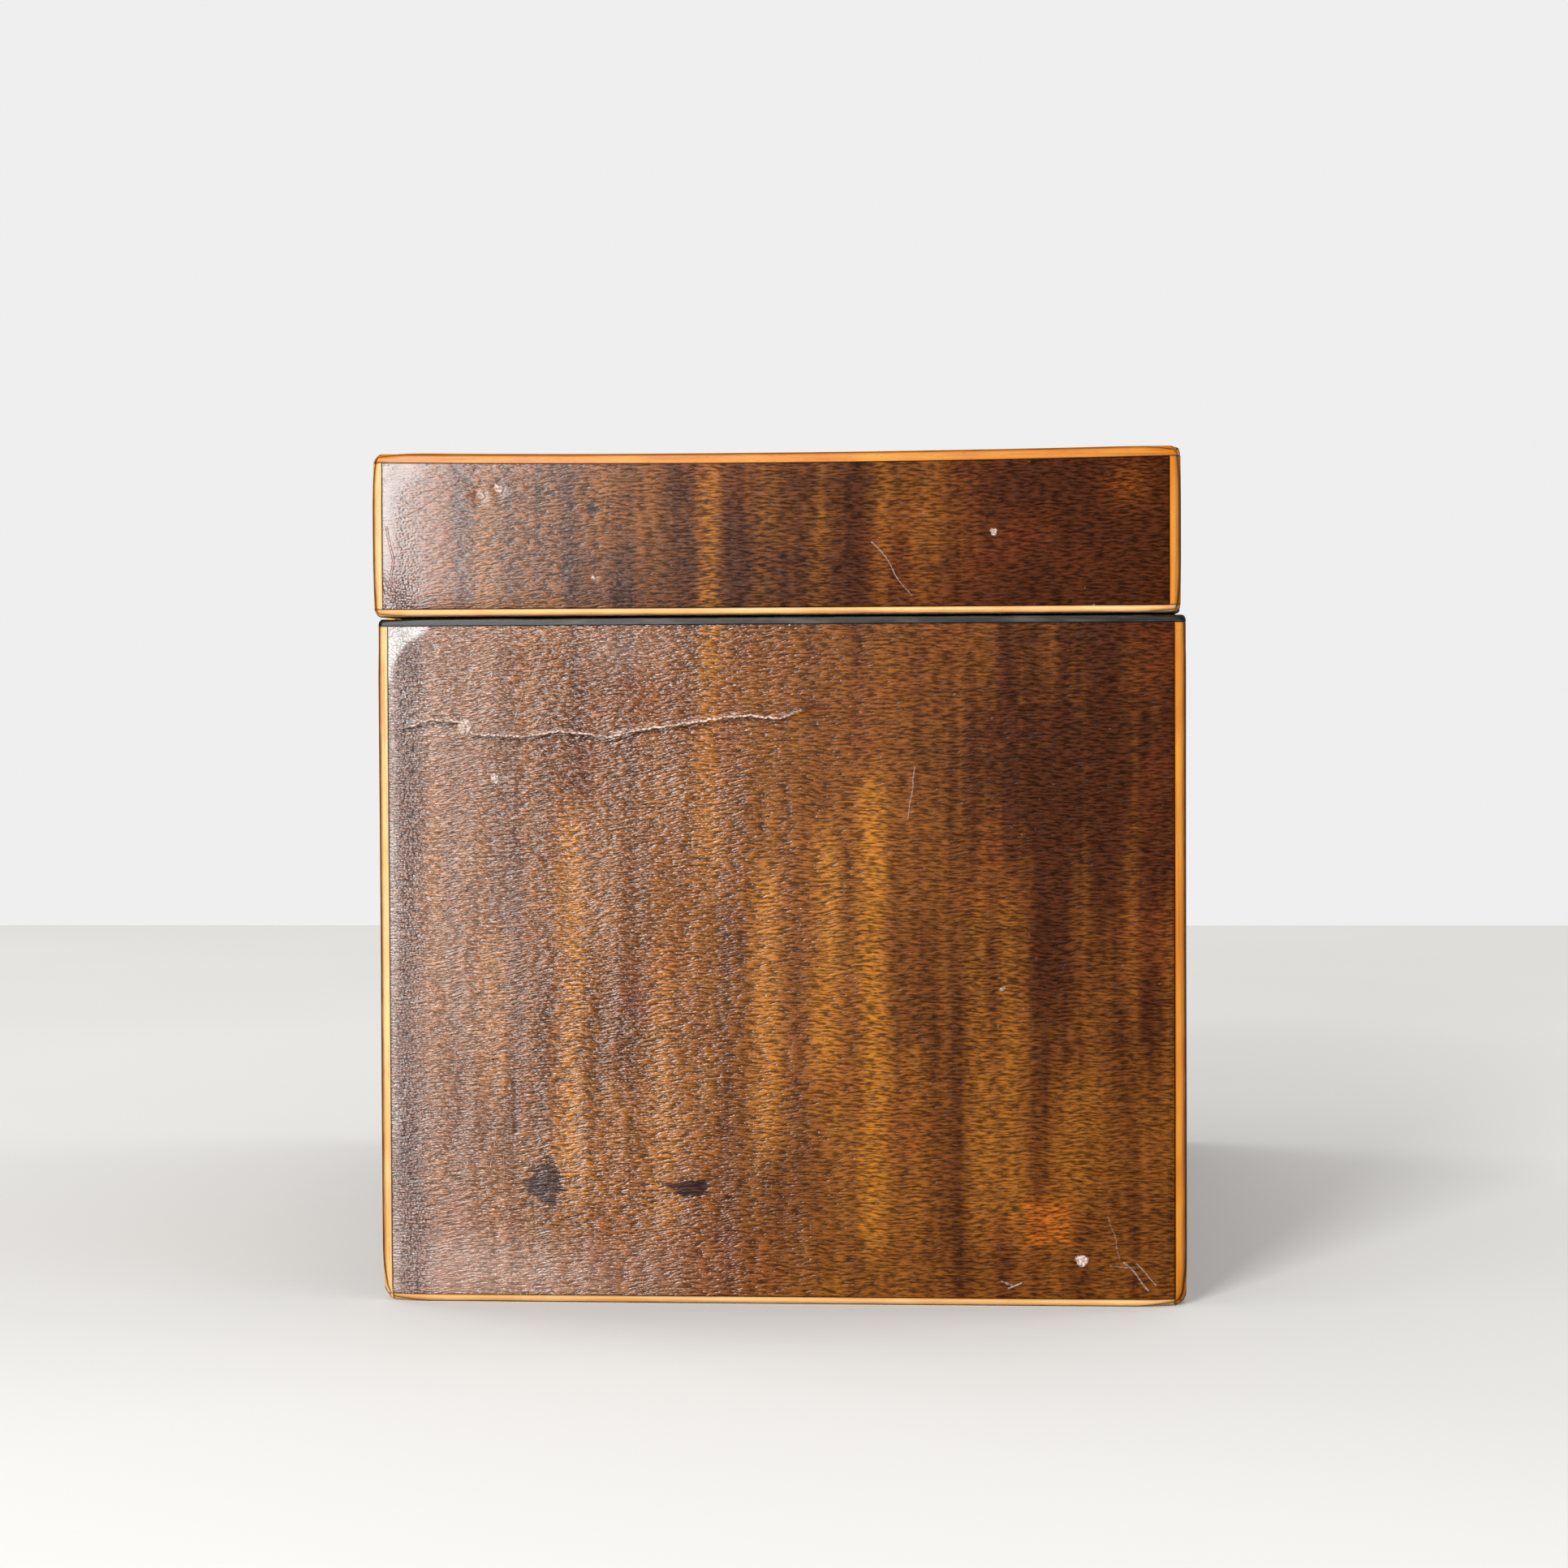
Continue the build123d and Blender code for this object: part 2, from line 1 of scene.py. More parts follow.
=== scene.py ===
"""Looks of a veneered tea caddy of about 1800, worn and polished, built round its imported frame.

The caddy is a softwood box sawn apart into a body and a lid. Here its outside is made again as
worn wood: dark figured veneer, pale edging let into the arrises and a black facing on the rim.
Inside are foil linings and two loose lids with bone knobs. Lengths are millimetres until a mesh
is made, and then metres.
"""

import logging
import math
from collections.abc import Callable, Sequence
from dataclasses import dataclass, field
from enum import Enum

import bpy
import numpy as np
from mathutils import Matrix, Vector


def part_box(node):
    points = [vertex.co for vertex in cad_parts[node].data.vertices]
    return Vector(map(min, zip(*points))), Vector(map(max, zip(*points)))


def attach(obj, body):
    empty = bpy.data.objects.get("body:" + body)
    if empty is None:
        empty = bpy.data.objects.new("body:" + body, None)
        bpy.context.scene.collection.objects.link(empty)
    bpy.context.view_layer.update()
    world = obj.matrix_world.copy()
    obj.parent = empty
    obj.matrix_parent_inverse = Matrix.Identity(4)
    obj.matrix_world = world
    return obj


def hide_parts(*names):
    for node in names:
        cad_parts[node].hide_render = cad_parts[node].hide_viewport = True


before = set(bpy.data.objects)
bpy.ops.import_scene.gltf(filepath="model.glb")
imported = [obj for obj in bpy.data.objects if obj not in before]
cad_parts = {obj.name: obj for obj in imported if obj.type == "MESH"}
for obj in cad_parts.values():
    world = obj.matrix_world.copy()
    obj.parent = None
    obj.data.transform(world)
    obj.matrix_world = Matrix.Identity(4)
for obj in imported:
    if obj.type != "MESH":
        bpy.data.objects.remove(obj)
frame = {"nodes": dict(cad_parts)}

log = logging.getLogger("caddy")

MM = 0.001
EASED = 0.09  # radius left on every joint edge by sanding
NEAR_EDGE = (0.0, 0.03, 0.09, 0.18, 0.34, 0.6, 1.05)  # grid lines beside an edge
SHARP_ANGLE = math.radians(40)
CHIP_DEPTH = 0.07
OUTER_SKIN = 0.5  # how deep into a veneer its relief reaches
TOP_START = (94, 61)  # from the top's middle to where its figure is measured from
WALL_MARKS = ("sunken", "glare", "gold", "shade", "ink", "rust", "bloom", "crackle")

Array = np.ndarray
Colour = tuple[float, float, float]


# ---- Numbers and shapes ----


def tint(red: int, green: int, blue: int) -> Colour:
    """The linear colour of a display colour given from 0 to 255."""
    shares = np.array((red, green, blue)) / 255.0
    linear = np.where(shares <= 0.04045, shares / 12.92, ((shares + 0.055) / 1.055) ** 2.4)
    return tuple(float(value) for value in linear)


def smooth(share: Array) -> Array:
    """The share clipped to 0..1 and eased at both ends: 3 s^2 - 2 s^3."""
    held = np.clip(share, 0.0, 1.0)
    return held * held * (3.0 - 2.0 * held)


def bell(distance: Array, reach: float) -> Array:
    """A bell curve: exp(-(distance / reach)^2)."""
    return np.exp(-((distance / reach) ** 2))


def ripple(first: Array, second: Array, period: float, seed: int) -> Array:
    """A gentle uneven swell between -1 and 1.

    It is the mean of six plane waves, each with its own heading, phase and period near the one
    asked for.

    Args:
        first: One coordinate, in millimetres.
        second: The other coordinate.
        period: About how far apart the swells lie.
        seed: Chooses the waves.

    Returns:
        The swell at each point.
    """
    draw = np.random.default_rng(seed)
    heading = draw.uniform(0.0, 2.0 * np.pi, 6)
    phase = draw.uniform(0.0, 2.0 * np.pi, 6)
    pitch = 2.0 * np.pi / (period * draw.uniform(0.6, 1.7, 6))
    across = first[..., None] * np.cos(heading) + second[..., None] * np.sin(heading)
    return np.sin(across * pitch + phase).mean(axis=-1)


def grid_lines(low: float, high: float, step: float, marks: Sequence[float] = ()) -> Array:
    """Grid lines from low to high: crowded beside both ends, then about step apart.

    Args:
        low: The first line.
        high: The last line.
        step: The spacing between the ends.
        marks: Extra lines, such as the edge of a recess.

    Returns:
        The lines in rising order.
    """
    offsets = np.array([offset for offset in NEAR_EDGE if offset < (high - low) / 2])
    reach = offsets[-1]
    count = max(2, int(round((high - low - 2 * reach) / step)) + 1)
    between = np.linspace(low + reach, high - reach, count)
    lines = np.concatenate([low + offsets, between, high - offsets, np.array(marks, float)])
    lines = np.unique(np.round(lines, 4))
    return lines[(lines >= low) & (lines <= high)]


def around(place: float, gap: float = 0.02) -> tuple[float, float]:
    """Two grid lines, one each side of a place where a recess starts."""
    return (place - gap, place + gap)


@dataclass(frozen=True)
class Box:
    """A box with its sides along the axes, in millimetres."""

    low: Array
    high: Array

    @classmethod
    def of(cls, *nodes: str) -> "Box":
        """The box round some nodes of the frame."""
        corners = [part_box(node) for node in nodes]
        low = np.min([np.array(pair[0]) for pair in corners], axis=0) / MM
        high = np.max([np.array(pair[1]) for pair in corners], axis=0) / MM
        return cls(low, high)

    @property
    def middle(self) -> Array:
        """The box's middle."""
        return (self.low + self.high) / 2

    @property
    def half(self) -> Array:
        """Half of the box's size along each axis."""
        return (self.high - self.low) / 2

    def depths(self, points: Array) -> Array:
        """How far each point lies in from the nearer face, along each axis."""
        return self.half - np.abs(points - self.middle)

    def rounded(self, points: Array, radius: Array | float) -> Array:
        """The points, with the box's edges and corners rounded.

        The nearest point of the box shrunk by the radius is found, and a point further than the
        radius from it is drawn in along that line until it is the radius away.

        Args:
            points: Points in the box, one to a row.
            radius: The radius, for all points or for each.

        Returns:
            The moved points.
        """
        reach = np.broadcast_to(np.asarray(radius, float), points.shape[:1])[:, None]
        reach = np.minimum(reach, self.half.min() * 0.98)
        core = np.clip(points, self.low + reach, self.high - reach)
        away = points - core
        length = np.linalg.norm(away, axis=1, keepdims=True)
        scale = np.where(length > reach, reach / np.maximum(length, 1e-9), 1.0)
        return core + away * scale


@dataclass
class Skin:
    """A closed skin of four-sided faces, and numbers held by its points."""

    points: Array
    faces: Array
    marks: dict[str, Array] = field(default_factory=dict)

    @classmethod
    def of_lattice(
        cls,
        lines: tuple[Array, Array, Array],
        solid: Callable[[Array, Array, Array], Array] | None = None,
    ) -> "Skin":
        """The skin of the filled cells of a lattice.

        Along each axis, a face stands wherever a filled cell meets an empty one, and it is wound
        so that it looks out of the filled cell.

        Args:
            lines: The lattice's grid lines along each axis.
            solid: Says which cells are filled, from their middles. Without it they all are.

        Returns:
            The skin, with only the points that it uses.
        """
        shape = tuple(len(line) for line in lines)
        number = np.arange(math.prod(shape)).reshape(shape)
        middles = [(line[1:] + line[:-1]) / 2 for line in lines]
        cells = np.ones([len(middle) for middle in middles], bool)
        if solid is not None:
            cells &= solid(*np.meshgrid(*middles, indexing="ij"))
        sheets = []
        for axis in range(3):
            layers = np.moveaxis(number, axis, 0)
            filled = np.moveaxis(cells, axis, 0).astype(np.int8)
            change = np.diff(np.pad(filled, ((1, 1), (0, 0), (0, 0))), axis=0)
            corners = (
                layers[:, :-1, :-1],
                layers[:, 1:, :-1],
                layers[:, 1:, 1:],
                layers[:, :-1, 1:],
            )
            quads = np.stack(corners, axis=-1)
            if axis == 1:
                quads = quads[..., ::-1]
            sheets.append(quads[change == -1])
            sheets.append(quads[change == 1][:, ::-1])
        quads = np.concatenate(sheets)
        used, renumbered = np.unique(quads, return_inverse=True)
        grid = np.stack(np.meshgrid(*lines, indexing="ij"), axis=-1).reshape(-1, 3)
        return cls(grid[used], renumbered.reshape(quads.shape))

    @classmethod
    def joined(cls, skins: Sequence["Skin"]) -> "Skin":
        """Several skins as one, with the marks that the first one names.

        Args:
            skins: The skins, which all hold those marks.

        Returns:
            One skin.
        """
        starts = np.cumsum([0] + [len(skin.points) for skin in skins[:-1]])
        points = np.concatenate([skin.points for skin in skins])
        faces = np.concatenate([skin.faces + start for skin, start in zip(skins, starts)])
        names = skins[0].marks
        marks = {name: np.concatenate([skin.marks[name] for skin in skins]) for name in names}
        return cls(points, faces, marks)

    def piece(self, name: str, node_names: Sequence[str], slot: str, body: str) -> bpy.types.Object:
        """Make the skin a piece of the model.

        Args:
            name: The piece's name.
            node_names: The frame's nodes that it stands for.
            slot: The name of a material slot; not used.
            body: The body that it rides on.

        Returns:
            The new object.
        """
        mesh = bpy.data.meshes.new(name)
        mesh.from_pydata(self.points * MM, [], self.faces)
        for mark, values in self.marks.items():
            layer = mesh.attributes.new(mark, "FLOAT", "POINT")
            layer.data.foreach_set("value", values.astype(np.float32))
        mesh.polygons.foreach_set("use_smooth", np.ones(len(self.faces), bool))
        mesh.update()
        mesh.set_sharp_from_angle(angle=SHARP_ANGLE)
        made = bpy.data.objects.new(name, mesh)
        bpy.context.scene.collection.objects.link(made)
        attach(made, body)
        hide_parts(*node_names)
        log.info("%s: %d faces, on %s", name, len(self.faces), body)
        return made


# ---- Shader arithmetic ----


class Field:
    """A number or colour that varies over a surface, with arithmetic that adds nodes."""

    def __init__(self, bench: "Bench", socket: bpy.types.NodeSocket) -> None:
        """Wrap an output socket of the bench's tree."""
        self.bench = bench
        self.socket = socket

    def _math(self, operation: str, *values: "Field | float") -> "Field":
        """A Math node on some values."""
        return self.bench.node("ShaderNodeMath", {"operation": operation}, dict(enumerate(values)))

    def __add__(self, other: "Field | float") -> "Field":
        """The sum."""
        return self._math("ADD", self, other)

    __radd__ = __add__

    def __sub__(self, other: "Field | float") -> "Field":
        """The difference."""
        return self._math("SUBTRACT", self, other)

    def __rsub__(self, other: "Field | float") -> "Field":
        """The difference from another value."""
        return self._math("SUBTRACT", other, self)

    def __mul__(self, other: "Field | float") -> "Field":
        """The product."""
        return self._math("MULTIPLY", self, other)

    __rmul__ = __mul__

    def __truediv__(self, other: "Field | float") -> "Field":
        """The quotient."""
        return self._math("DIVIDE", self, other)

    def __abs__(self) -> "Field":
        """The size without its sign."""
        return self._math("ABSOLUTE", self)

    def held(self) -> "Field":
        """The value clipped to 0..1."""
        settings = {"operation": "ADD", "use_clamp": True}
        return self.bench.node("ShaderNodeMath", settings, {0: self, 1: 0.0})

    def most(self, other: "Field | float") -> "Field":
        """The larger of two values."""
        return self._math("MAXIMUM", self, other)

    def rise(self, low: float, high: float) -> "Field":
        """0 up to low, 1 from high, and an eased step between; high below low makes it fall."""
        settings = {"interpolation_type": "SMOOTHSTEP"}
        flip = high < low
        ends = {"From Min": min(low, high), "From Max": max(low, high)}
        ends.update({"To Min": 1.0 if flip else 0.0, "To Max": 0.0 if flip else 1.0})
        return self.bench.node("ShaderNodeMapRange", settings, {"Value": self, **ends})


class Bench:
    """A material's node tree, and the few ways in which nodes are added to it."""

    def __init__(self, name: str) -> None:
        """Start a material with an empty tree."""
        self.material = bpy.data.materials.new(name)
        self.material.use_nodes = True
        self.tree = self.material.node_tree
        self.tree.nodes.clear()

    def node(
        self,
        kind: str,
        settings: dict[str, object] | None = None,
        values: dict[str | int, object] | None = None,
        output: str | int = 0,
    ) -> Field:
        """Add a node.

        Args:
            kind: The node's type.
            settings: Its properties, set before its sockets.
            values: What its input sockets hold, or the fields that they are linked to.
            output: The output to return.

        Returns:
            That output.
        """
        made = self.tree.nodes.new(kind)
        for key, setting in (settings or {}).items():
            setattr(made, key, setting)
        for key, value in (values or {}).items():
            socket = made.inputs[key]
            if isinstance(value, Field):
                self.tree.links.new(value.socket, socket)
            elif isinstance(value, tuple) and socket.type == "RGBA":
                socket.default_value = (*value, 1.0)
            else:
                socket.default_value = value
        return Field(self, made.outputs[output])

    def place(self) -> tuple[Field, Field, Field]:
        """The X, Y and Z of the surface, in millimetres."""
        spot = self.node("ShaderNodeTexCoord", output="Object")
        scaled = self.node("ShaderNodeVectorMath", {"operation": "SCALE"}, {0: spot, "Scale": 1000.0})
        parts = self.node("ShaderNodeSeparateXYZ", values={0: scaled})
        outputs = parts.socket.node.outputs
        return parts, Field(self, outputs[1]), Field(self, outputs[2])

    def mark(self, name: str) -> Field:
        """A number that the piece's points hold."""
        return self.node("ShaderNodeAttribute", {"attribute_name": name}, output="Fac")

    def noise(
        self, x: Field, y: Field, z: Field | float = 0.0, detail: float = 2.0, rough: float = 0.5
    ) -> Field:
        """Smooth noise of about 0..1 at coordinates that are already scaled."""
        spot = self.node("ShaderNodeCombineXYZ", values={0: x, 1: y, 2: z})
        values = {"Vector": spot, "Scale": 1.0, "Detail": detail, "Roughness": rough}
        return self.node("ShaderNodeTexNoise", values=values)

    def cells(self, x: Field, y: Field, z: Field | float = 0.0, feature: str = "F1") -> Field:
        """Distances in a pattern of cells at coordinates that are already scaled."""
        spot = self.node("ShaderNodeCombineXYZ", values={0: x, 1: y, 2: z})
        return self.node("ShaderNodeTexVoronoi", {"feature": feature}, {"Vector": spot, "Scale": 1.0})

    def mix(
        self, share: Field | float, first: Field | Colour, second: Field | Colour, way: str = "MIX"
    ) -> Field:
        """Two colours mixed by a share of the second."""
        settings = {"data_type": "RGBA", "blend_type": way}
        return self.node("ShaderNodeMix", settings, {0: share, 6: first, 7: second}, output=2)

    def shaded(self, colour: Field, amount: Field) -> Field:
        """A colour made darker or lighter by a number."""
        grey = self.node("ShaderNodeCombineColor", values={0: amount, 1: amount, 2: amount})
        return self.mix(1.0, colour, grey, "MULTIPLY")

    def relief(self, height: Field, depth: float, strength: float = 1.0) -> Field:
        """A bump of that depth, in millimetres."""
        values = {"Height": height, "Distance": depth * MM, "Strength": strength}
        return self.node("ShaderNodeBump", values=values)

    def surface(self, **values: object) -> bpy.types.Material:
        """Finish the material with its surface.

        Args:
            values: What the shader's sockets hold, named with underscores for spaces.

        Returns:
            The material.
        """
        named = {key.replace("_", " ").title(): value for key, value in values.items()}
        named = {key.replace("Ior", "IOR"): value for key, value in named.items()}
        shader = self.node("ShaderNodeBsdfPrincipled", values=named)
        ending = self.tree.nodes.new("ShaderNodeOutputMaterial")
        self.tree.links.new(shader.socket, ending.inputs["Surface"])
        return self.material


# ---- Finishes ----


class Grain(Enum):
    """Which way the grain runs, and which way lies across it: the axes' numbers."""

    ALONG_X_ON_WALL = (0, 2, 1)
    ALONG_Y_ON_WALL = (1, 2, 0)
    ALONG_X_ON_TOP = (0, 1, 2)
    ALONG_Z_ON_WALL = (2, 1, 0)

    def split(self, place: tuple[Field, Field, Field]) -> tuple[Field, Field, Field]:
        """The place along the grain, across it and into the wood."""
        return tuple(place[number] for number in self.value)


@dataclass(frozen=True)
class Stroke:
    """A thin mark on the left end: from one point to another, in millimetres.

    Points are (distance from the back edge, height).
    """

    start: tuple[float, float]
    end: tuple[float, float]
    width: float = 0.16
    strength: float = 1.0


@dataclass(frozen=True)
class Chip:
    """A small chip: its middle, its two half widths and how pale it is."""

    middle: tuple[float, float]
    half: tuple[float, float]
    strength: float = 1.0

    def distance(self, along: Array, height: Array) -> Array:
        """How far out each point lies, in half widths of the chip."""
        across = (along - self.middle[0]) / self.half[0]
        up = (height - self.middle[1]) / self.half[1]
        return np.hypot(across, up)


CRACK = ((3.4, 85.4), (8.2, 86.9), (12.6, 86.6), (14.4, 84.7), (22.5, 84.3), (27.4, 85.1),
         (35.2, 84.2), (39.8, 85.3), (46.6, 86.2), (55.2, 87.4), (59.8, 86.9), (64.2, 88.0))
BODY_CHIPS = (
    Chip((13.3, 85.7), (1.1, 1.2)),
    Chip((17.8, 78.0), (0.7, 0.75)),
    Chip((8.0, 71.2), (0.7, 0.4), 0.6),
    Chip((47.2, 74.1), (0.7, 0.22), 0.8),
    Chip((34.0, 56.2), (0.5, 0.4), 0.45),
    Chip((93.0, 46.9), (0.45, 0.35), 0.6),
    Chip((104.5, 6.8), (1.0, 0.8), 1.2),
)
LID_CHIPS = (
    Chip((19.3, 121.0), (0.7, 0.65)),
    Chip((16.6, 120.2), (0.7, 0.8), 0.6),
    Chip((33.4, 107.7), (0.4, 0.35), 0.9),
    Chip((92.5, 114.1), (0.55, 0.5), 0.9),
    Chip((106.5, 102.9), (1.1, 0.5), 0.7),
)
BODY_STROKES = (
    Stroke((22.0, 91.9), (20.9, 86.6)),
    Stroke((25.4, 91.4), (27.0, 89.4), 0.12, 0.6),
    Stroke((18.0, 27.0), (16.9, 20.0), 0.12, 0.6),
    Stroke((19.0, 22.5), (18.6, 16.5), 0.12, 0.5),
    Stroke((108.0, 13.4), (110.4, 7.0), 0.14, 0.25),
    Stroke((92.4, 3.6), (94.0, 3.1), 0.2, 0.9),
    Stroke((93.6, 2.6), (95.6, 3.4), 0.16, 0.7),
    Stroke((111.0, 6.5), (114.4, 2.4), 0.16, 0.9),
    Stroke((112.6, 6.3), (115.6, 3.2), 0.14, 0.8),
    Stroke((109.0, 6.1), (112.0, 5.7), 0.14, 0.6),
    Stroke((80.7, 79.5), (79.0, 72.0), 0.12, 0.35),
)
LID_STROKES = (
    Stroke((74.8, 112.6), (80.2, 104.8), 0.14, 0.7),
    Stroke((5.4, 117.0), (13.2, 122.2), 0.16, 0.5),
    Stroke((3.6, 107.0), (3.1, 115.5), 0.2, 0.6),
)


def stroke_mark(u: Field, z: Field, stroke: Stroke) -> Field:
    """A pale line between two points: 1 at its middle and 0 from its width outwards.

    The place is turned so that one axis runs along the stroke, and the line fades past its ends.

    Args:
        u: Distance from the end's back edge, in millimetres.
        z: Height.
        stroke: The line.

    Returns:
        The mask.
    """
    run = np.subtract(stroke.end, stroke.start)
    length = float(np.hypot(*run))
    cos, sin = (float(value) for value in run / length)
    aside = u * -sin + z * cos + (stroke.start[0] * sin - stroke.start[1] * cos)
    onward = u * cos + z * sin - (stroke.start[0] * cos + stroke.start[1] * sin)
    off_end = abs(onward - length / 2).rise(length / 2 + 0.25, length / 2 - 0.1)
    return abs(aside).rise(stroke.width, stroke.width * 0.3) * off_end * stroke.strength


def chip_mark(u: Field, z: Field, chip: Chip) -> Field:
    """A pale spot: 1 in its middle, easing to 0 with the square of the distance out.

    Args:
        u: Distance from the end's back edge, in millimetres.
        z: Height.
        chip: The spot.

    Returns:
        The mask.
    """
    across = (u - chip.middle[0]) / chip.half[0]
    up = (z - chip.middle[1]) / chip.half[1]
    return (across * across + up * up).rise(1.25, 0.5) * chip.strength


@dataclass(frozen=True)
class DarkVeneer:
    """Figured dark veneer under old, crackled polish.

    Attributes:
        name: The material's name.
        grain: Which way the grain runs.
        back_edge: On the end with marks of its own, where its back edge is along Y; else None.
        cracked: Whether that end has the long crack.
        gloss: The polish's specular level.
        strokes: Its scratches.
        chips: Its chips.
        dark, mid, warm, gold: The veneer's colours, from its darkest to its figure's lightest.
    """

    name: str
    grain: Grain
    back_edge: float | None = None
    cracked: bool = False
    gloss: float = 0.42
    strokes: tuple[Stroke, ...] = ()
    chips: tuple[Chip, ...] = ()
    dark: Colour = tint(54, 23, 6)
    mid: Colour = tint(94, 52, 13)
    warm: Colour = tint(118, 70, 16)
    gold: Colour = tint(148, 92, 22)

    def damage(self, bench: Bench, place: tuple[Field, Field, Field]) -> Field | None:
        """The chips, scratches and crack of the marked end, as one mask.

        Args:
            bench: The material's bench.
            place: The surface's X, Y and Z.

        Returns:
            The mask, or None on a wall with no marks of its own.
        """
        if self.back_edge is None:
            return None
        _, y, z = place
        u = self.back_edge - y
        fray_u = (bench.noise(u * 1.3, z * 1.3, 5.0) - 0.5) * 1.1
        fray_z = (bench.noise(u * 1.3, z * 1.3, 9.0) - 0.5) * 1.1
        ragged = (u + fray_u, z + fray_z)
        masks = [chip_mark(*ragged, chip) for chip in self.chips]
        bent = u + (bench.noise(u * 0.16, z * 0.16, 7.0, 1.0) - 0.5) * 2.4
        masks += [stroke_mark(bent, z, stroke) * 0.55 for stroke in self.strokes]
        if self.cracked:
            gap = bench.mark("crack_gap") + (bench.noise(u * 0.9, z * 0.2, 2.0, 3.0) - 0.5) * 1.1
            thin = bench.noise(u * 0.5, z * 0.1, 6.0, 1.0).rise(0.25, 0.5)
            masks.append(abs(gap).rise(0.25, 0.08) * bench.mark("crack_run") * (0.55 + thin * 0.65))
        found = masks[0]
        for mask in masks[1:]:
            found = found.most(mask)
        return found

    def dress(self) -> bpy.types.Material:
        """Build the material.

        Broad bands across the grain are the figure. Short dashes along the grain, tilted by a slow
        wave, are fibre that the polish has sunk into, and they show in colour and in relief.

        Returns:
            The material.
        """
        bench = Bench(self.name)
        place = bench.place()
        g, a, w = self.grain.split(place)
        side = w * 0.02
        sunken = bench.mark("sunken")
        wave = (bench.noise(g * 0.17, a * 0.03, side, 1.0) - 0.5) * 2.1
        slow = (bench.noise(g * 0.035, a * 0.05, side + 7.0, 1.0) - 0.5) * 4.0
        b = a + (wave + slow) * (0.3 + sunken * 0.7)
        dash = bench.noise(g * 0.62, b * 3.2, side, 2.0, 0.6).rise(0.33, 0.67)
        hair = bench.noise(g * 0.9, b * 6.5, side + 3.0, 1.0, 0.5)
        pore = bench.noise(g * 0.75, b * 3.0, side + 5.0, 1.0).rise(0.60, 0.74)
        figure = bench.noise(g * 0.27, a * 0.013, side + 11.0, 2.5, 0.6)
        stripe = bench.noise(g * 0.07, a * 0.9, side + 13.0, 3.0, 0.6)
        blotch = bench.noise(g * 0.035, a * 0.03, side + 17.0, 2.0, 0.5)
        gold = bench.mark("gold")
        shade = bench.mark("shade")
        polish = bench.mark("crackle")
        light = (figure - 0.5) * 1.25 + (blotch - 0.5) * 0.9 + (stripe - 0.5) * 0.5 + 0.5
        light = (light - shade * 0.9 + gold * 0.25).held()
        colour = bench.mix(light.rise(0.0, 0.55), self.dark, self.mid)
        colour = bench.mix(light.rise(0.45, 1.0), colour, self.warm)
        redness = bench.noise(g * 0.05, a * 0.05, side + 23.0, 2.0).rise(0.5, 0.75)
        colour = bench.mix(redness * 0.35, colour, tint(104, 46, 16))
        colour = bench.mix((gold * (0.4 + dash * 0.5)).held() * 0.75, colour, self.gold)
        colour = bench.mix(bench.mark("rust") * (0.4 + dash * 0.5), colour, tint(144, 74, 12))
        colour = bench.shaded(colour, 0.16 + dash * 1.18 + hair * 0.5)
        colour = bench.mix(pore * 0.5, colour, tint(24, 10, 6))
        ragged = bench.noise(g * 0.45, b * 0.9, side + 2.0, 3.0)
        stain = (bench.mark("ink") + ragged * 1.2 - 0.6).rise(0.3, 0.62) * bench.mark("ink").rise(0.05, 0.3)
        colour = bench.mix(stain * 0.85, colour, tint(24, 10, 14))
        # Hazed polish with painted sheen: a lilac-grey wash laid into the colour, stronger on the pale
        # dashes.
        bloom = bench.mark("bloom")
        colour = bench.mix((bloom * (0.5 + dash * 0.7)).held() * 0.6, colour, tint(150, 120, 106))
        pebble = bench.cells(g * 2.3, b * 2.5, side * 4.0)
        colour = bench.mix(polish * 0.3, colour, tint(118, 100, 98))
        colour = bench.mix(polish * pebble.rise(0.3, 0.7) * 0.75, colour, tint(38, 22, 24))
        # Painted highlight: the glare mark lays a grey-white sheen into the colour and flattens the relief
        # under it.
        glare = bench.mark("glare") * (0.7 + dash * 0.3)
        colour = bench.mix(glare * 0.65, colour, tint(158, 156, 152))
        colour = bench.mix(bench.mark("joint") * 0.75, colour, tint(22, 12, 8))
        dust = bench.noise(g * 1.1, a * 1.1, side + 31.0, 2.0).rise(0.73, 0.78)
        colour = bench.mix(dust * 0.25, colour, tint(150, 120, 100))
        rough = 0.14 + sunken * 0.06 + dash * 0.05 + pore * 0.08
        height = (dash * 0.75 + hair * 0.12 - pore * 0.5) * sunken * (1.0 - glare) * (1.0 - stain * 0.8)
        height = height - polish * pebble * 0.55
        damage = self.damage(bench, place)
        if damage is not None:
            if self.cracked:
                # Painted shadow: a dark line just under the crack, below its lifted lip.
                below = abs(bench.mark("crack_gap") + 0.55).rise(0.55, 0.1) * bench.mark("crack_run")
                colour = bench.mix(below * 0.6, colour, tint(34, 16, 10))
            worn = bench.noise(g * 2.4, a * 2.4).rise(0.35, 0.65)
            pale = bench.mix(worn, tint(120, 92, 78), tint(196, 178, 166))
            colour = bench.mix((damage * 0.85).held(), colour, pale)
            rough = rough + damage * 0.25
            height = height + damage * 0.9
        return bench.surface(
            base_color=colour,
            roughness=rough,
            specular_ior_level=self.gloss,
            normal=bench.relief(height, 0.11, 1.0),
        )


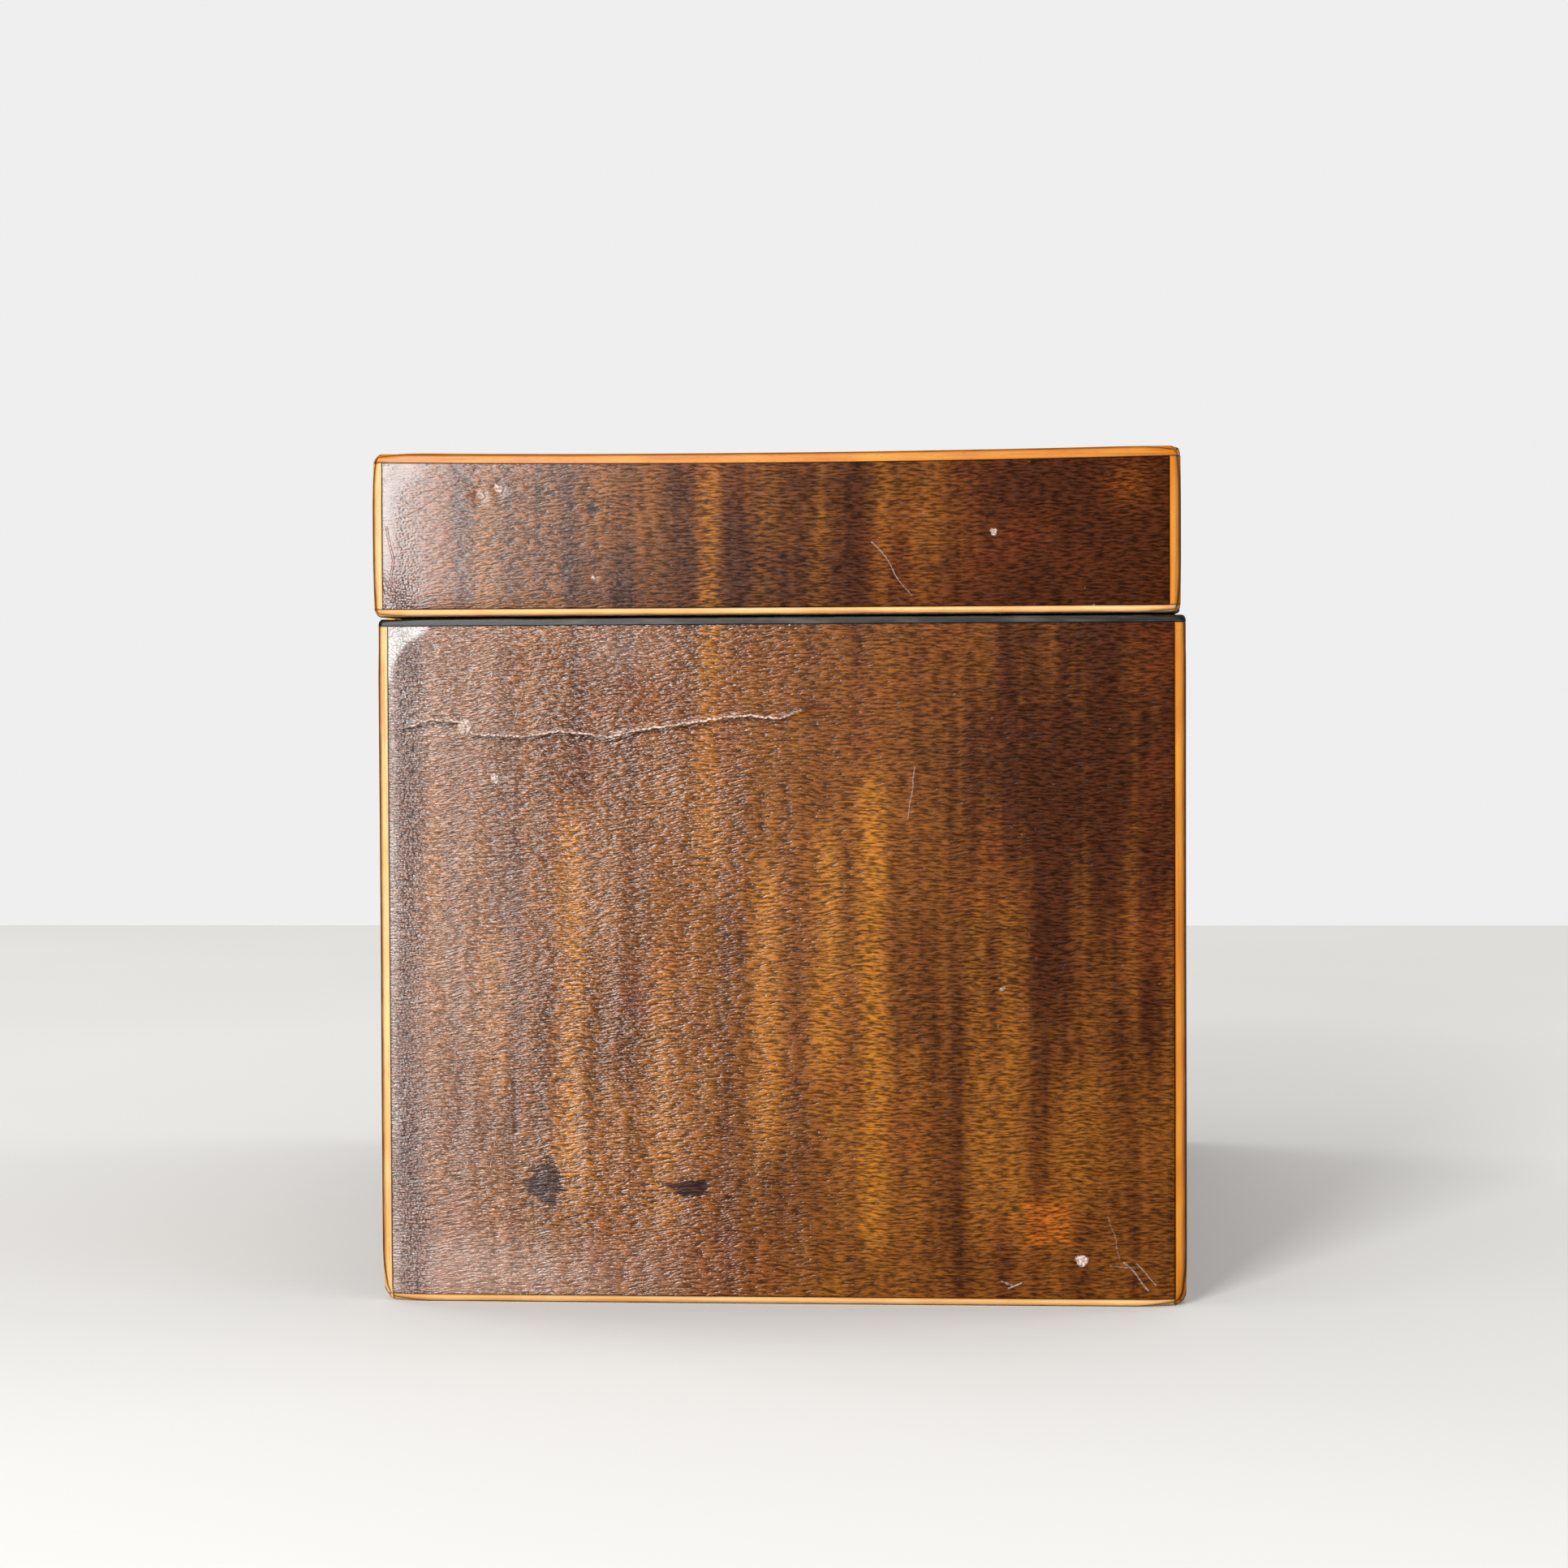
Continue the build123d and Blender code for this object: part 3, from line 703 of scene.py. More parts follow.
@dataclass(frozen=True)
class PaleEdging:
    """Boxwood edging: fine straight grain, honey polish, dark joints and painted shade along its arris."""

    name: str
    grain: Grain
    pale: Colour = tint(186, 120, 24)
    honey: Colour = tint(174, 100, 6)
    deep: Colour = tint(128, 62, 4)

    def dress(self) -> bpy.types.Material:
        """Build the material: long fine lines along the grain, mixed through three honeys."""
        bench = Bench(self.name)
        g, a, w = self.grain.split(bench.place())
        line = bench.noise(g * 0.05, a * 3.0, w * 3.0, 3.0, 0.6)
        patch = bench.noise(g * 0.08, a * 0.2, w * 0.2, 2.0)
        fleck = bench.noise(g * 0.8, a * 7.0, w * 7.0, 1.0).rise(0.6, 0.78)
        colour = bench.mix(patch.rise(0.3, 0.7), self.honey, self.pale)
        colour = bench.mix(line.rise(0.5, 0.75) * 0.6, colour, self.deep)
        colour = bench.mix(fleck * 0.3, colour, tint(140, 72, 24))
        ragged = bench.noise(g * 0.3, a * 2.0, w * 2.0, 3.0)
        # Painted shade: the edging darkens along its rounded arrises, where they turn from the light.
        painted_arris_shade = (bench.mark("arris") * (0.8 + ragged * 0.7)).held()
        colour = bench.mix(painted_arris_shade * 0.95, colour, tint(66, 32, 8))
        colour = bench.mix(bench.mark("joint") * 0.8, colour, tint(52, 28, 12))
        return bench.surface(
            base_color=colour,
            roughness=0.3 + line * 0.12,
            specular_ior_level=0.28,
            normal=bench.relief(line + fleck * -0.4, 0.05, 0.6),
        )


@dataclass(frozen=True)
class BlackFacing:
    """Ebonised slip on the rim: worn grey on its edges, with a little brown wood showing."""

    name: str

    def dress(self) -> bpy.types.Material:
        """Build the material: black stain, rubbed through in short streaks."""
        bench = Bench(self.name)
        x, y, z = bench.place()
        streak = bench.noise(x * 0.25, y * 0.25, z * 3.0, 3.0, 0.6)
        rubbed = bench.noise(x * 0.12, y * 0.12, z * 0.6, 3.0).rise(0.52, 0.7)
        colour = bench.mix(streak.rise(0.4, 0.75), tint(14, 13, 12), tint(38, 36, 33))
        colour = bench.mix(rubbed * 0.5, colour, tint(76, 66, 58))
        colour = bench.mix(bench.mark("joint") * 0.5, colour, tint(20, 14, 10))
        return bench.surface(
            base_color=colour,
            roughness=0.3 + streak * 0.2,
            specular_ior_level=0.3,
            normal=bench.relief(streak, 0.06, 0.6),
        )


@dataclass(frozen=True)
class PlainWood:
    """A plain timber with rings, fibre and pores.

    Attributes:
        name: The material's name.
        grain: Which way the grain runs.
        light, dark, pores: Its early wood, its late wood and its pores.
        ring: About how far apart its rings lie, in millimetres.
        roughness: Its least roughness.
    """

    name: str
    grain: Grain
    light: Colour
    dark: Colour
    pores: Colour
    ring: float
    roughness: float

    def dress(self) -> bpy.types.Material:
        """Build the material: bent rings across the grain, fine fibre and dark pores along it."""
        bench = Bench(self.name)
        g, a, w = self.grain.split(bench.place())
        bend = bench.noise(g * 0.012, a * 0.03, w * 0.03, 2.0) * 14.0
        ring = bench.noise(g * 0.004, (a + bend) / self.ring, (w + bend) / self.ring, 2.0, 0.6)
        fibre = bench.noise(g * 0.12, a * 4.0, w * 4.0, 2.0)
        pore = bench.noise(g * 0.6, a * 5.0, w * 5.0, 1.0).rise(0.62, 0.76)
        grime = bench.noise(g * 0.03, a * 0.03, w * 0.03, 3.0).rise(0.45, 0.8)
        colour = bench.mix(ring.rise(0.35, 0.65), self.light, self.dark)
        colour = bench.shaded(colour, 0.72 + fibre * 0.5)
        colour = bench.mix(pore * 0.5, colour, self.pores)
        colour = bench.mix(grime * 0.3, colour, self.pores)
        return bench.surface(
            base_color=colour,
            roughness=self.roughness + fibre * 0.15,
            normal=bench.relief(fibre - pore * 0.7, 0.12, 0.7),
        )


@dataclass(frozen=True)
class OldMetal:
    """Metal with tarnish in patches, fine file marks and a few pits.

    Attributes:
        name: The material's name.
        bright, dull: Its rubbed and its tarnished colour.
        roughness: The rubbed metal's roughness.
        relief: The depth of its marks, in millimetres.
        crumpled: Whether it is foil with folds in it.
    """

    name: str
    bright: Colour
    dull: Colour
    roughness: float
    relief: float = 0.03
    crumpled: bool = False

    def dress(self) -> bpy.types.Material:
        """Build the material: clouds of tarnish over a metal with marks along X."""
        bench = Bench(self.name)
        x, y, z = bench.place()
        cloud = bench.noise(x * 0.22, y * 0.22, z * 0.22, 4.0, 0.6).rise(0.38, 0.68)
        file = bench.noise(x * 0.3, y * 6.0, z * 6.0, 2.0, 0.6)
        pit = bench.cells(x * 0.8, y * 0.8, z * 0.8).rise(0.16, 0.06)
        height = file * 0.6 - pit
        if self.crumpled:
            fold = bench.cells(x * 0.16, y * 0.16, z * 0.16, "DISTANCE_TO_EDGE").rise(0.0, 0.16)
            crease = bench.cells(x * 0.5, y * 0.5, z * 0.5, "DISTANCE_TO_EDGE").rise(0.0, 0.2)
            height = fold + crease * 0.5
        colour = bench.mix(cloud, self.bright, self.dull)
        colour = bench.mix(pit * 0.6, colour, tint(40, 30, 20))
        return bench.surface(
            base_color=colour,
            metallic=1.0 - cloud * 0.35,
            roughness=self.roughness + cloud * 0.22 + file * 0.08,
            normal=bench.relief(height, self.relief, 0.8),
        )


@dataclass(frozen=True)
class Bone:
    """Polished bone: ivory, with fine brown marrow flecks and yellowing in patches."""

    name: str

    def dress(self) -> bpy.types.Material:
        """Build the material: short dark flecks along Z on a mottled ivory ground."""
        bench = Bench(self.name)
        x, y, z = bench.place()
        mottle = bench.noise(x * 0.4, y * 0.4, z * 0.15, 3.0)
        fleck = bench.noise(x * 3.5, y * 3.5, z * 0.7, 2.0).rise(0.62, 0.74)
        colour = bench.mix(mottle.rise(0.35, 0.7), tint(232, 216, 182), tint(206, 176, 126))
        colour = bench.mix(fleck * 0.55, colour, tint(116, 82, 52))
        return bench.surface(
            base_color=colour,
            roughness=0.26 + mottle * 0.12,
            subsurface_weight=0.12,
            subsurface_scale=0.0015,
            normal=bench.relief(fleck * -1.0 + mottle * 0.3, 0.04, 0.6),
        )


@dataclass(frozen=True)
class LiningPaper:
    """Old laid paper pasted in the lid: faded pink-buff, with foxing and fine laid lines."""

    name: str

    def dress(self) -> bpy.types.Material:
        """Build the material: laid lines along X, cloudy fading and brown spots."""
        bench = Bench(self.name)
        x, y, z = bench.place()
        laid = bench.noise(x * 0.04, y * 1.8, z * 0.1, 1.0)
        cloud = bench.noise(x * 0.02, y * 0.02, z * 0.02, 3.0)
        foxing = bench.noise(x * 0.16, y * 0.16, z * 0.16, 5.0, 0.65).rise(0.64, 0.78)
        fibre = bench.noise(x * 2.5, y * 2.5, z * 2.5, 3.0)
        colour = bench.mix(cloud.rise(0.35, 0.7), tint(198, 158, 132), tint(172, 118, 92))
        colour = bench.shaded(colour, 0.8 + laid * 0.25 + fibre * 0.12)
        colour = bench.mix(foxing * 0.55, colour, tint(122, 76, 44))
        return bench.surface(
            base_color=colour,
            roughness=0.82 + fibre * 0.1,
            normal=bench.relief(laid + fibre, 0.08, 0.8),
        )


@dataclass(frozen=True)
class StudioFloor:
    """A plain pale floor with a faint soft sheen."""

    name: str

    def dress(self) -> bpy.types.Material:
        """Build the material: an even pale grey with a very slight cloud."""
        bench = Bench(self.name)
        x, y, z = bench.place()
        cloud = bench.noise(x * 0.004, y * 0.004, z, 2.0)
        colour = bench.mix(cloud, tint(196, 194, 191), tint(204, 203, 201))
        return bench.surface(base_color=colour, roughness=0.8 + cloud * 0.08, specular_ior_level=0.0)


# ---- The worn outside ----


class Side(Enum):
    """A wall of the box, with the number of quarter turns from the front to it."""

    FRONT = 0
    RIGHT = 1
    BACK = 2
    LEFT = 3

    @property
    def word(self) -> str:
        """The side's name in the frame."""
        return self.name.lower()

    @property
    def axis(self) -> int:
        """The axis that the wall faces along."""
        return 1 if self in (Side.FRONT, Side.BACK) else 0

    def placed(self, local: Array, box: Box) -> Array:
        """Turn points given as (along the wall, depth into it, height) into the box's frame.

        Along runs to the right as the wall is seen from outside. The point stands at the front
        wall first, and is then turned about the box's middle by quarter turns.

        Args:
            local: The points.
            box: The box whose wall it is.

        Returns:
            The points in the shared frame.
        """
        out = box.half[self.axis] - local[:, 1]
        turns = {
            Side.FRONT: (local[:, 0], -out),
            Side.RIGHT: (out, local[:, 0]),
            Side.BACK: (-local[:, 0], out),
            Side.LEFT: (-out, -local[:, 0]),
        }
        x, y = turns[self]
        return np.stack([x + box.middle[0], y + box.middle[1], local[:, 2]], axis=1)


@dataclass(frozen=True)
class HingeRoom:
    """The room that the hinges' leaves and knuckles take out of the back wall.

    Attributes:
        leaf: The right hinge's body leaf.
        pin: Its pin.
        play: The gap beside a leaf.
        knuckle_radius: The radius of the scoop round a knuckle.
    """

    leaf: Box = field(default_factory=lambda: Box.of("hinge_body_leaf_right"))
    pin: Box = field(default_factory=lambda: Box.of("hinge_pin_right"))
    play: float = 0.1
    knuckle_radius: float = 2.15

    @property
    def span(self) -> tuple[float, float]:
        """The right hinge's two ends along X, with its play."""
        return (self.leaf.low[0] - self.play, self.leaf.high[0] + self.play)

    def beside(self, x: Array) -> Array:
        """Whether places along X lie within either hinge."""
        return (np.abs(x) > self.span[0]) & (np.abs(x) < self.span[1])

    def lines(self) -> list[float]:
        """Grid lines along X at the ends of both hinges."""
        ends = [line for end in self.span for line in around(end)]
        return ends + [-line for line in ends]

    def cut_through(self, s: Array, d: Array, z: Array) -> Array:
        """Whether cells of a back length are left where the leaves cut right through it."""
        return ~self.beside(s)

    def cleared(self, points: Array) -> Array:
        """Push points that lie in a knuckle's scoop straight out from the pin to its edge.

        Args:
            points: Points of a piece on the back wall.

        Returns:
            The moved points.
        """
        away = points[:, 1:] - self.pin.middle[1:]
        length = np.linalg.norm(away, axis=1)
        caught = self.beside(points[:, 0]) & (length < self.knuckle_radius)
        scale = np.where(caught, self.knuckle_radius / np.maximum(length, 1e-6), 1.0)
        moved = points.copy()
        moved[:, 1:] = self.pin.middle[1:] + away * scale[:, None]
        return moved


@dataclass(frozen=True)
class Outline:
    """The outside of the body or of the lid, and how two hundred years have worn it.

    Attributes:
        box: Its unworn box.
        arris: The radius of the upright arrises.
        level_low, level_high: The radii of the level arrises.
        foot, head: The radii at the low and at the high corners.
        reach: How far a corner's wear runs along its arrises.
        dip: How far the top has sunk at its middle.
        seed: Chooses its unevenness.
    """

    box: Box
    arris: float
    level_low: float
    level_high: float
    foot: float
    head: float
    reach: float
    dip: float
    seed: int

    def radius(self, points: Array) -> Array:
        """The arris radius at each point.

        Away from the corners it is that of the nearest kind of arris. It grows to the corner's
        radius over the reach, and swells a little along its length.

        Args:
            points: Points of a piece of the outline.

        Returns:
            The radius at each.
        """
        depth = self.box.depths(points)
        up = points[:, 2] - self.box.low[2]
        down = self.box.high[2] - points[:, 2]
        corner = self.arris + (self.foot - self.arris) * smooth(1 - up / self.reach)
        corner = corner + (self.head - self.arris) * smooth(1 - down / self.reach)
        level = np.where(up < down, self.level_low, self.level_high)
        near = smooth(1 - np.maximum(depth[:, 0], depth[:, 1]) / self.reach)
        swell = 1 + 0.22 * ripple(points[:, 0] + points[:, 1], points[:, 2], 13.0, self.seed)
        return (level + (corner - level) * near) * swell

    def sunk(self, points: Array, axis: int) -> Array:
        """How far the face across an axis has worn in at each point.

        A rounded rectangle lies inside the face. Past its line the face falls away as the square
        of the distance, more towards the back, and the whole face swells and dips slightly.

        Args:
            points: Points of a piece of the outline.
            axis: The axis that the face lies across.

        Returns:
            The wear at each, in millimetres.
        """
        first, second = [number for number in range(3) if number != axis]
        offset = np.abs(points - self.box.middle)
        corner = 9.0
        excess_first = offset[:, first] - (self.box.half[first] - corner)
        excess_second = offset[:, second] - (self.box.half[second] - corner)
        outside = np.hypot(np.maximum(excess_first, 0), np.maximum(excess_second, 0))
        inside = np.minimum(np.maximum(excess_first, excess_second), 0)
        distance = corner - (outside + inside)
        reach = 4.2
        back = smooth((points[:, 1] - self.box.middle[1]) / self.box.half[1])
        fall = (0.10 + 0.22 * back) * np.clip(1 - distance / reach, 0, 1) ** 2
        swell = 0.035 * (1 + ripple(points[:, first], points[:, second], 38.0, self.seed + axis))
        return fall + swell

    def worn(self, points: Array, thin: bool = False) -> Array:
        """The points as wear has left them.

        The box's arrises are rounded. Then each face's points move in by the face's wear, less
        with depth, and the top sinks as a parabola along Y.

        Args:
            points: Points of a piece of the outline.
            thin: Whether only the top's own surface sinks, and not the wall under it.

        Returns:
            The moved points.
        """
        depth = self.box.depths(points)
        moved = self.box.rounded(points, self.radius(points))
        way = np.sign(points - self.box.middle)
        for axis in (0, 1):
            weight = np.clip(1 - depth[:, axis] / 1.6, 0, 1)
            moved[:, axis] -= way[:, axis] * weight * self.sunk(points, axis)
        if self.dip:
            start = self.box.high[2] - 1.0 if thin else self.box.low[2]
            share = np.clip((points[:, 2] - start) / (self.box.high[2] - start), 0, 1)
            bow = 1 - ((points[:, 1] - self.box.middle[1]) / self.box.half[1]) ** 2
            edge = self.sunk(points, 2) * np.clip(1 - (self.box.high[2] - points[:, 2]), 0, 1)
            moved[:, 2] -= share * self.dip * bow + edge
        return moved

    def marks(self, points: Array, box: Box) -> dict[str, Array]:
        """Dark joints round a piece, and painted shade along the outline's arrises.

        A joint is a face of the piece's own box that isn't a face of the outline. Each mark is a
        bell curve of the distance to it.

        Args:
            points: The piece's points before wear.
            box: The piece's own box.

        Returns:
            The marks "joint" and "arris".
        """
        distance = np.full(len(points), 9.0)
        for axis in range(3):
            if box.low[axis] - self.box.low[axis] > 0.05:
                distance = np.minimum(distance, points[:, axis] - box.low[axis])
            if self.box.high[axis] - box.high[axis] > 0.05:
                distance = np.minimum(distance, box.high[axis] - points[:, axis])
        depth = self.box.depths(points)
        # The arris mark is painted shade along the rounded arrises; the joint mark gives dark joints.
        upright = bell(np.hypot(depth[:, 0], depth[:, 1]), 0.62)
        level = bell(np.hypot(np.minimum(depth[:, 0], depth[:, 1]), depth[:, 2]), 0.35)
        return {"joint": bell(distance, 0.12), "arris": np.maximum(upright, 0.8 * level)}


@dataclass(frozen=True)
class Band:
    """A band of bright figure: its middle and half width along the wall, and its heights."""

    middle: float
    half: float
    low: float
    high: float
    strength: float

    def at(self, along: Array, height: Array) -> Array:
        """The band's strength: a bell across it, eased off past its two ends.

        Args:
            along: Distance from the wall's left end.
            height: Height above the table.

        Returns:
            The strength at each point.
        """
        ends = smooth((height - self.low) / 9 + 0.5) * smooth((self.high - height) / 9 + 0.5)
        lean = 0.8 * ripple(height, along * 0.1, 34.0, int(self.middle * 7))
        return self.strength * bell(along + lean - self.middle, self.half) * ends


END_BANDS = (
    Band(17.2, 2.4, 30, 56, 0.55),
    Band(29.3, 2.3, 16, 74, 0.9),
    Band(35.5, 1.6, 8, 34, 0.3),
    Band(42.3, 2.2, 10, 52, 0.55),
    Band(50.4, 1.9, 62, 128, 0.55),
    Band(58.2, 2.2, 22, 64, 0.8),
    Band(66.9, 1.9, 34, 70, 0.7),
    Band(73.8, 2.4, 8, 78, 0.85),
    Band(80.5, 1.6, 10, 40, 0.3),
    Band(89.0, 1.6, 10, 62, 0.4),
    Band(93.8, 1.6, 10, 62, 0.4),
    Band(104.0, 3.0, 14, 34, 0.35),
    Band(8.5, 2.0, 10, 84, 0.3),
    Band(17.6, 2.2, 100, 128, 0.3),
    Band(27.2, 1.6, 96, 122, 0.2),
    Band(58.7, 1.6, 100, 128, 0.25),
    Band(66.0, 1.9, 100, 120, 0.25),
    Band(75.6, 1.5, 104, 128, 0.22),
    Band(81.7, 1.4, 100, 120, 0.2),
)


@dataclass(frozen=True)
class WallFigure:
    """Figure, stains, hazed polish with painted sheen, and painted glare on a wall, worked out for its
    points.

    Attributes:
        side: The wall.
        length: The wall's length.
    """

    side: Side
    length: float

    def bands(self) -> tuple[Band, ...]:
        """The wall's bright bands: listed for the left end, and drawn at random elsewhere."""
        if self.side is Side.LEFT:
            return END_BANDS
        draw = np.random.default_rng(40 + self.side.value)
        count = int(self.length / 8)
        middles = np.sort(draw.uniform(4, self.length - 4, count))
        lows = draw.uniform(-30, 60, count)
        highs = lows + draw.uniform(35, 110, count)
        halves = draw.uniform(1.3, 2.8, count)
        strengths = draw.uniform(0.3, 1.0, count)
        return tuple(Band(*map(float, row)) for row in zip(middles, halves, lows, highs, strengths))

    def marks(self, along: Array, height: Array) -> dict[str, Array]:
        """The wall's marks.

        Args:
            along: Distance from the wall's left end, as seen from outside.
            height: Height above the table.

        Returns:
            The marks "gold", "shade", "ink", "rust", the mark of hazed polish and painted sheen, "crackle",
            "glare" (a painted highlight) and "sunken".
        """
        wander = ripple(height, along, 17.0, 5 + self.side.value)
        worked_out = self._left_end if self.side is Side.LEFT else self._other_wall
        found = worked_out(along, height, wander)
        found["gold"] = sum(band.at(along, height) for band in self.bands())
        found["crackle"] = np.clip(found["crackle"], 0, 1)
        return {name: found[name] for name in WALL_MARKS}

    def _left_end(self, along: Array, height: Array, wander: Array) -> dict[str, Array]:
        """The marks of the left end, each stain and patch given one by one.

        Args:
            along: Distance from the wall's left end, which is the caddy's back edge.
            height: Height above the table.
            wander: A slow swell that keeps edges from running straight.

        Returns:
            Every mark but the figure's.
        """
        in_lid = smooth((height - 101) / 2)
        shade = in_lid * (0.16 + 0.45 * smooth((along - 84) / 10))
        shade = shade + in_lid * 0.2 * smooth((117 - height) / 8) * smooth((along - 20) / 12)
        shade = shade - (1 - in_lid) * 0.08 * smooth((62 - height) / 40) * smooth((86 - along) / 20)
        shade = shade + (1 - in_lid) * 0.14 * smooth((along - 78) / 16)
        shade = shade + (1 - in_lid) * 0.42 * smooth((along - 72) / 38) * smooth((height - 14) / 60)
        ink = 0.8 * bell(np.hypot((along - 25.0) / 3.9, (height - 17.6) / 4.1), 1.0)
        ink = ink + 0.85 * bell(np.hypot((along - 46.6) / 4.4, (height - 17.4) / 1.6), 1.0)
        ink = ink + 0.6 * bell(np.hypot((along - 33.3) / 1.4, (height - 118.4) / 1.4), 1.0)
        square = np.maximum(np.abs(along - 99.8) / 3.2, np.abs(height - 12.2) / 3.0)
        rust = 0.75 * smooth((1.3 + 0.2 * wander - square) / 0.5)
        rust = rust + 0.3 * bell(np.hypot((along - 112.4) / 3.0, (height - 121) / 3.4), 1.0)
        # Painted sheen: lilac-grey washes on the lid's upper back corner, on the body's top and along its
        # back edge.
        bloom = 0.7 * in_lid * smooth((13 + 3 * wander - along) / 9) * smooth((height - 104) / 14)
        bloom = bloom + 0.45 * bell(np.hypot((along - 37) / 6, (height - 97) / 4), 1.0)
        bloom = bloom + (1 - in_lid) * (0.4 * bell(along - 2, 9.0) + 0.3 * bell(along - 14, 8.0))
        # Painted highlight: a quarter-round glare round the body's upper back corner, and a thin glare
        # strip down its back edge.
        corner = np.hypot(np.minimum(along - 9.6, 0), np.maximum(height - 92.6, 0))
        glare = (1 - in_lid) * (height > 92.6) * smooth((corner - 7.0) / 0.7) * smooth((9 - along) / 3)
        glare = glare + 0.55 * bell(along - 2.4, 0.7) * (0.55 + 0.45 * wander)
        # Painted reflection: a pale haze over the low part of the body towards its back edge.
        bloom = bloom + 1.2 * smooth((58 - along) / 54) * smooth((13 - height) / 10)
        crackle = smooth((9.5 + 1.6 * wander - along) / 5) * (0.25 + 0.75 * (1 - in_lid))
        crackle = crackle * (0.25 + 0.75 * smooth((along - 1.4) / 2.6))
        sunken = (0.2 + 0.7 * smooth((84 - along) / 76)) * (1 - 0.82 * in_lid)
        crackle = crackle + 0.5 * in_lid * smooth((9 - along) / 4) * smooth((111 - height) / 5)
        return {
            "sunken": sunken,
            "glare": glare,
            "shade": shade,
            "ink": ink,
            "rust": rust,
            "bloom": bloom,
            "crackle": crackle,
        }

    def _other_wall(self, along: Array, height: Array, wander: Array) -> dict[str, Array]:
        """The marks of any other wall, spread by slow swells.

        Args:
            along: Distance from the wall's left end, as seen from outside.
            height: Height above the table.
            wander: A slow swell that keeps edges from running straight.

        Returns:
            Every mark but the figure's.
        """
        edge = np.minimum(along, self.length - along)
        shade = 0.25 * smooth(wander) + 0.15 * smooth((height - 101) / 2)
        glare = np.zeros(len(along))
        ink = 0.36 * smooth((ripple(along, height, 30.0, 60 + self.side.value) - 0.45) / 0.4)
        rust = 0.5 * smooth((ripple(along, height, 30.0, 80 + self.side.value) - 0.6) / 0.2)
        # Hazed polish with painted sheen near the wall's ends, as on the left end.
        bloom = 0.5 * smooth((10 + 5 * wander - edge) / 12) * smooth(0.5 + wander)
        crackle = 0.7 * smooth((9 + 2.5 * wander - edge) / 6)
        sunken = 0.35 + 0.45 * smooth(0.5 + wander)
        return {
            "sunken": sunken,
            "glare": glare,
            "shade": shade,
            "ink": ink,
            "rust": rust,
            "bloom": bloom,
            "crackle": crackle,
        }


def crack_lift(along: Array, height: Array) -> Array:
    """How far the long crack's lips stand proud, in millimetres.

    The crack is a run of straight lengths. The lift is a bell of the distance to the nearest
    length, ragged along its run.

    Args:
        along: Distance from the end's back edge.
        height: Height above the table.

    Returns:
        The lift at each point.
    """
    nearest = np.full(len(along), 99.0)
    jitter = 0.25 * ripple(along, along * 0.0, 2.6, 31)
    for start, end in zip(CRACK[:-1], CRACK[1:]):
        run = np.subtract(end, start)
        share = ((along - start[0]) * run[0] + (height - start[1]) * run[1]) / (run @ run)
        share = np.clip(share, 0, 1)
        gap = np.hypot(along - start[0] - share * run[0], height + jitter - start[1] - share * run[1])
        nearest = np.minimum(nearest, gap)
    return 0.11 * bell(nearest, 0.38) * (0.75 + 0.4 * ripple(along, along * 0.0, 5.0, 32))


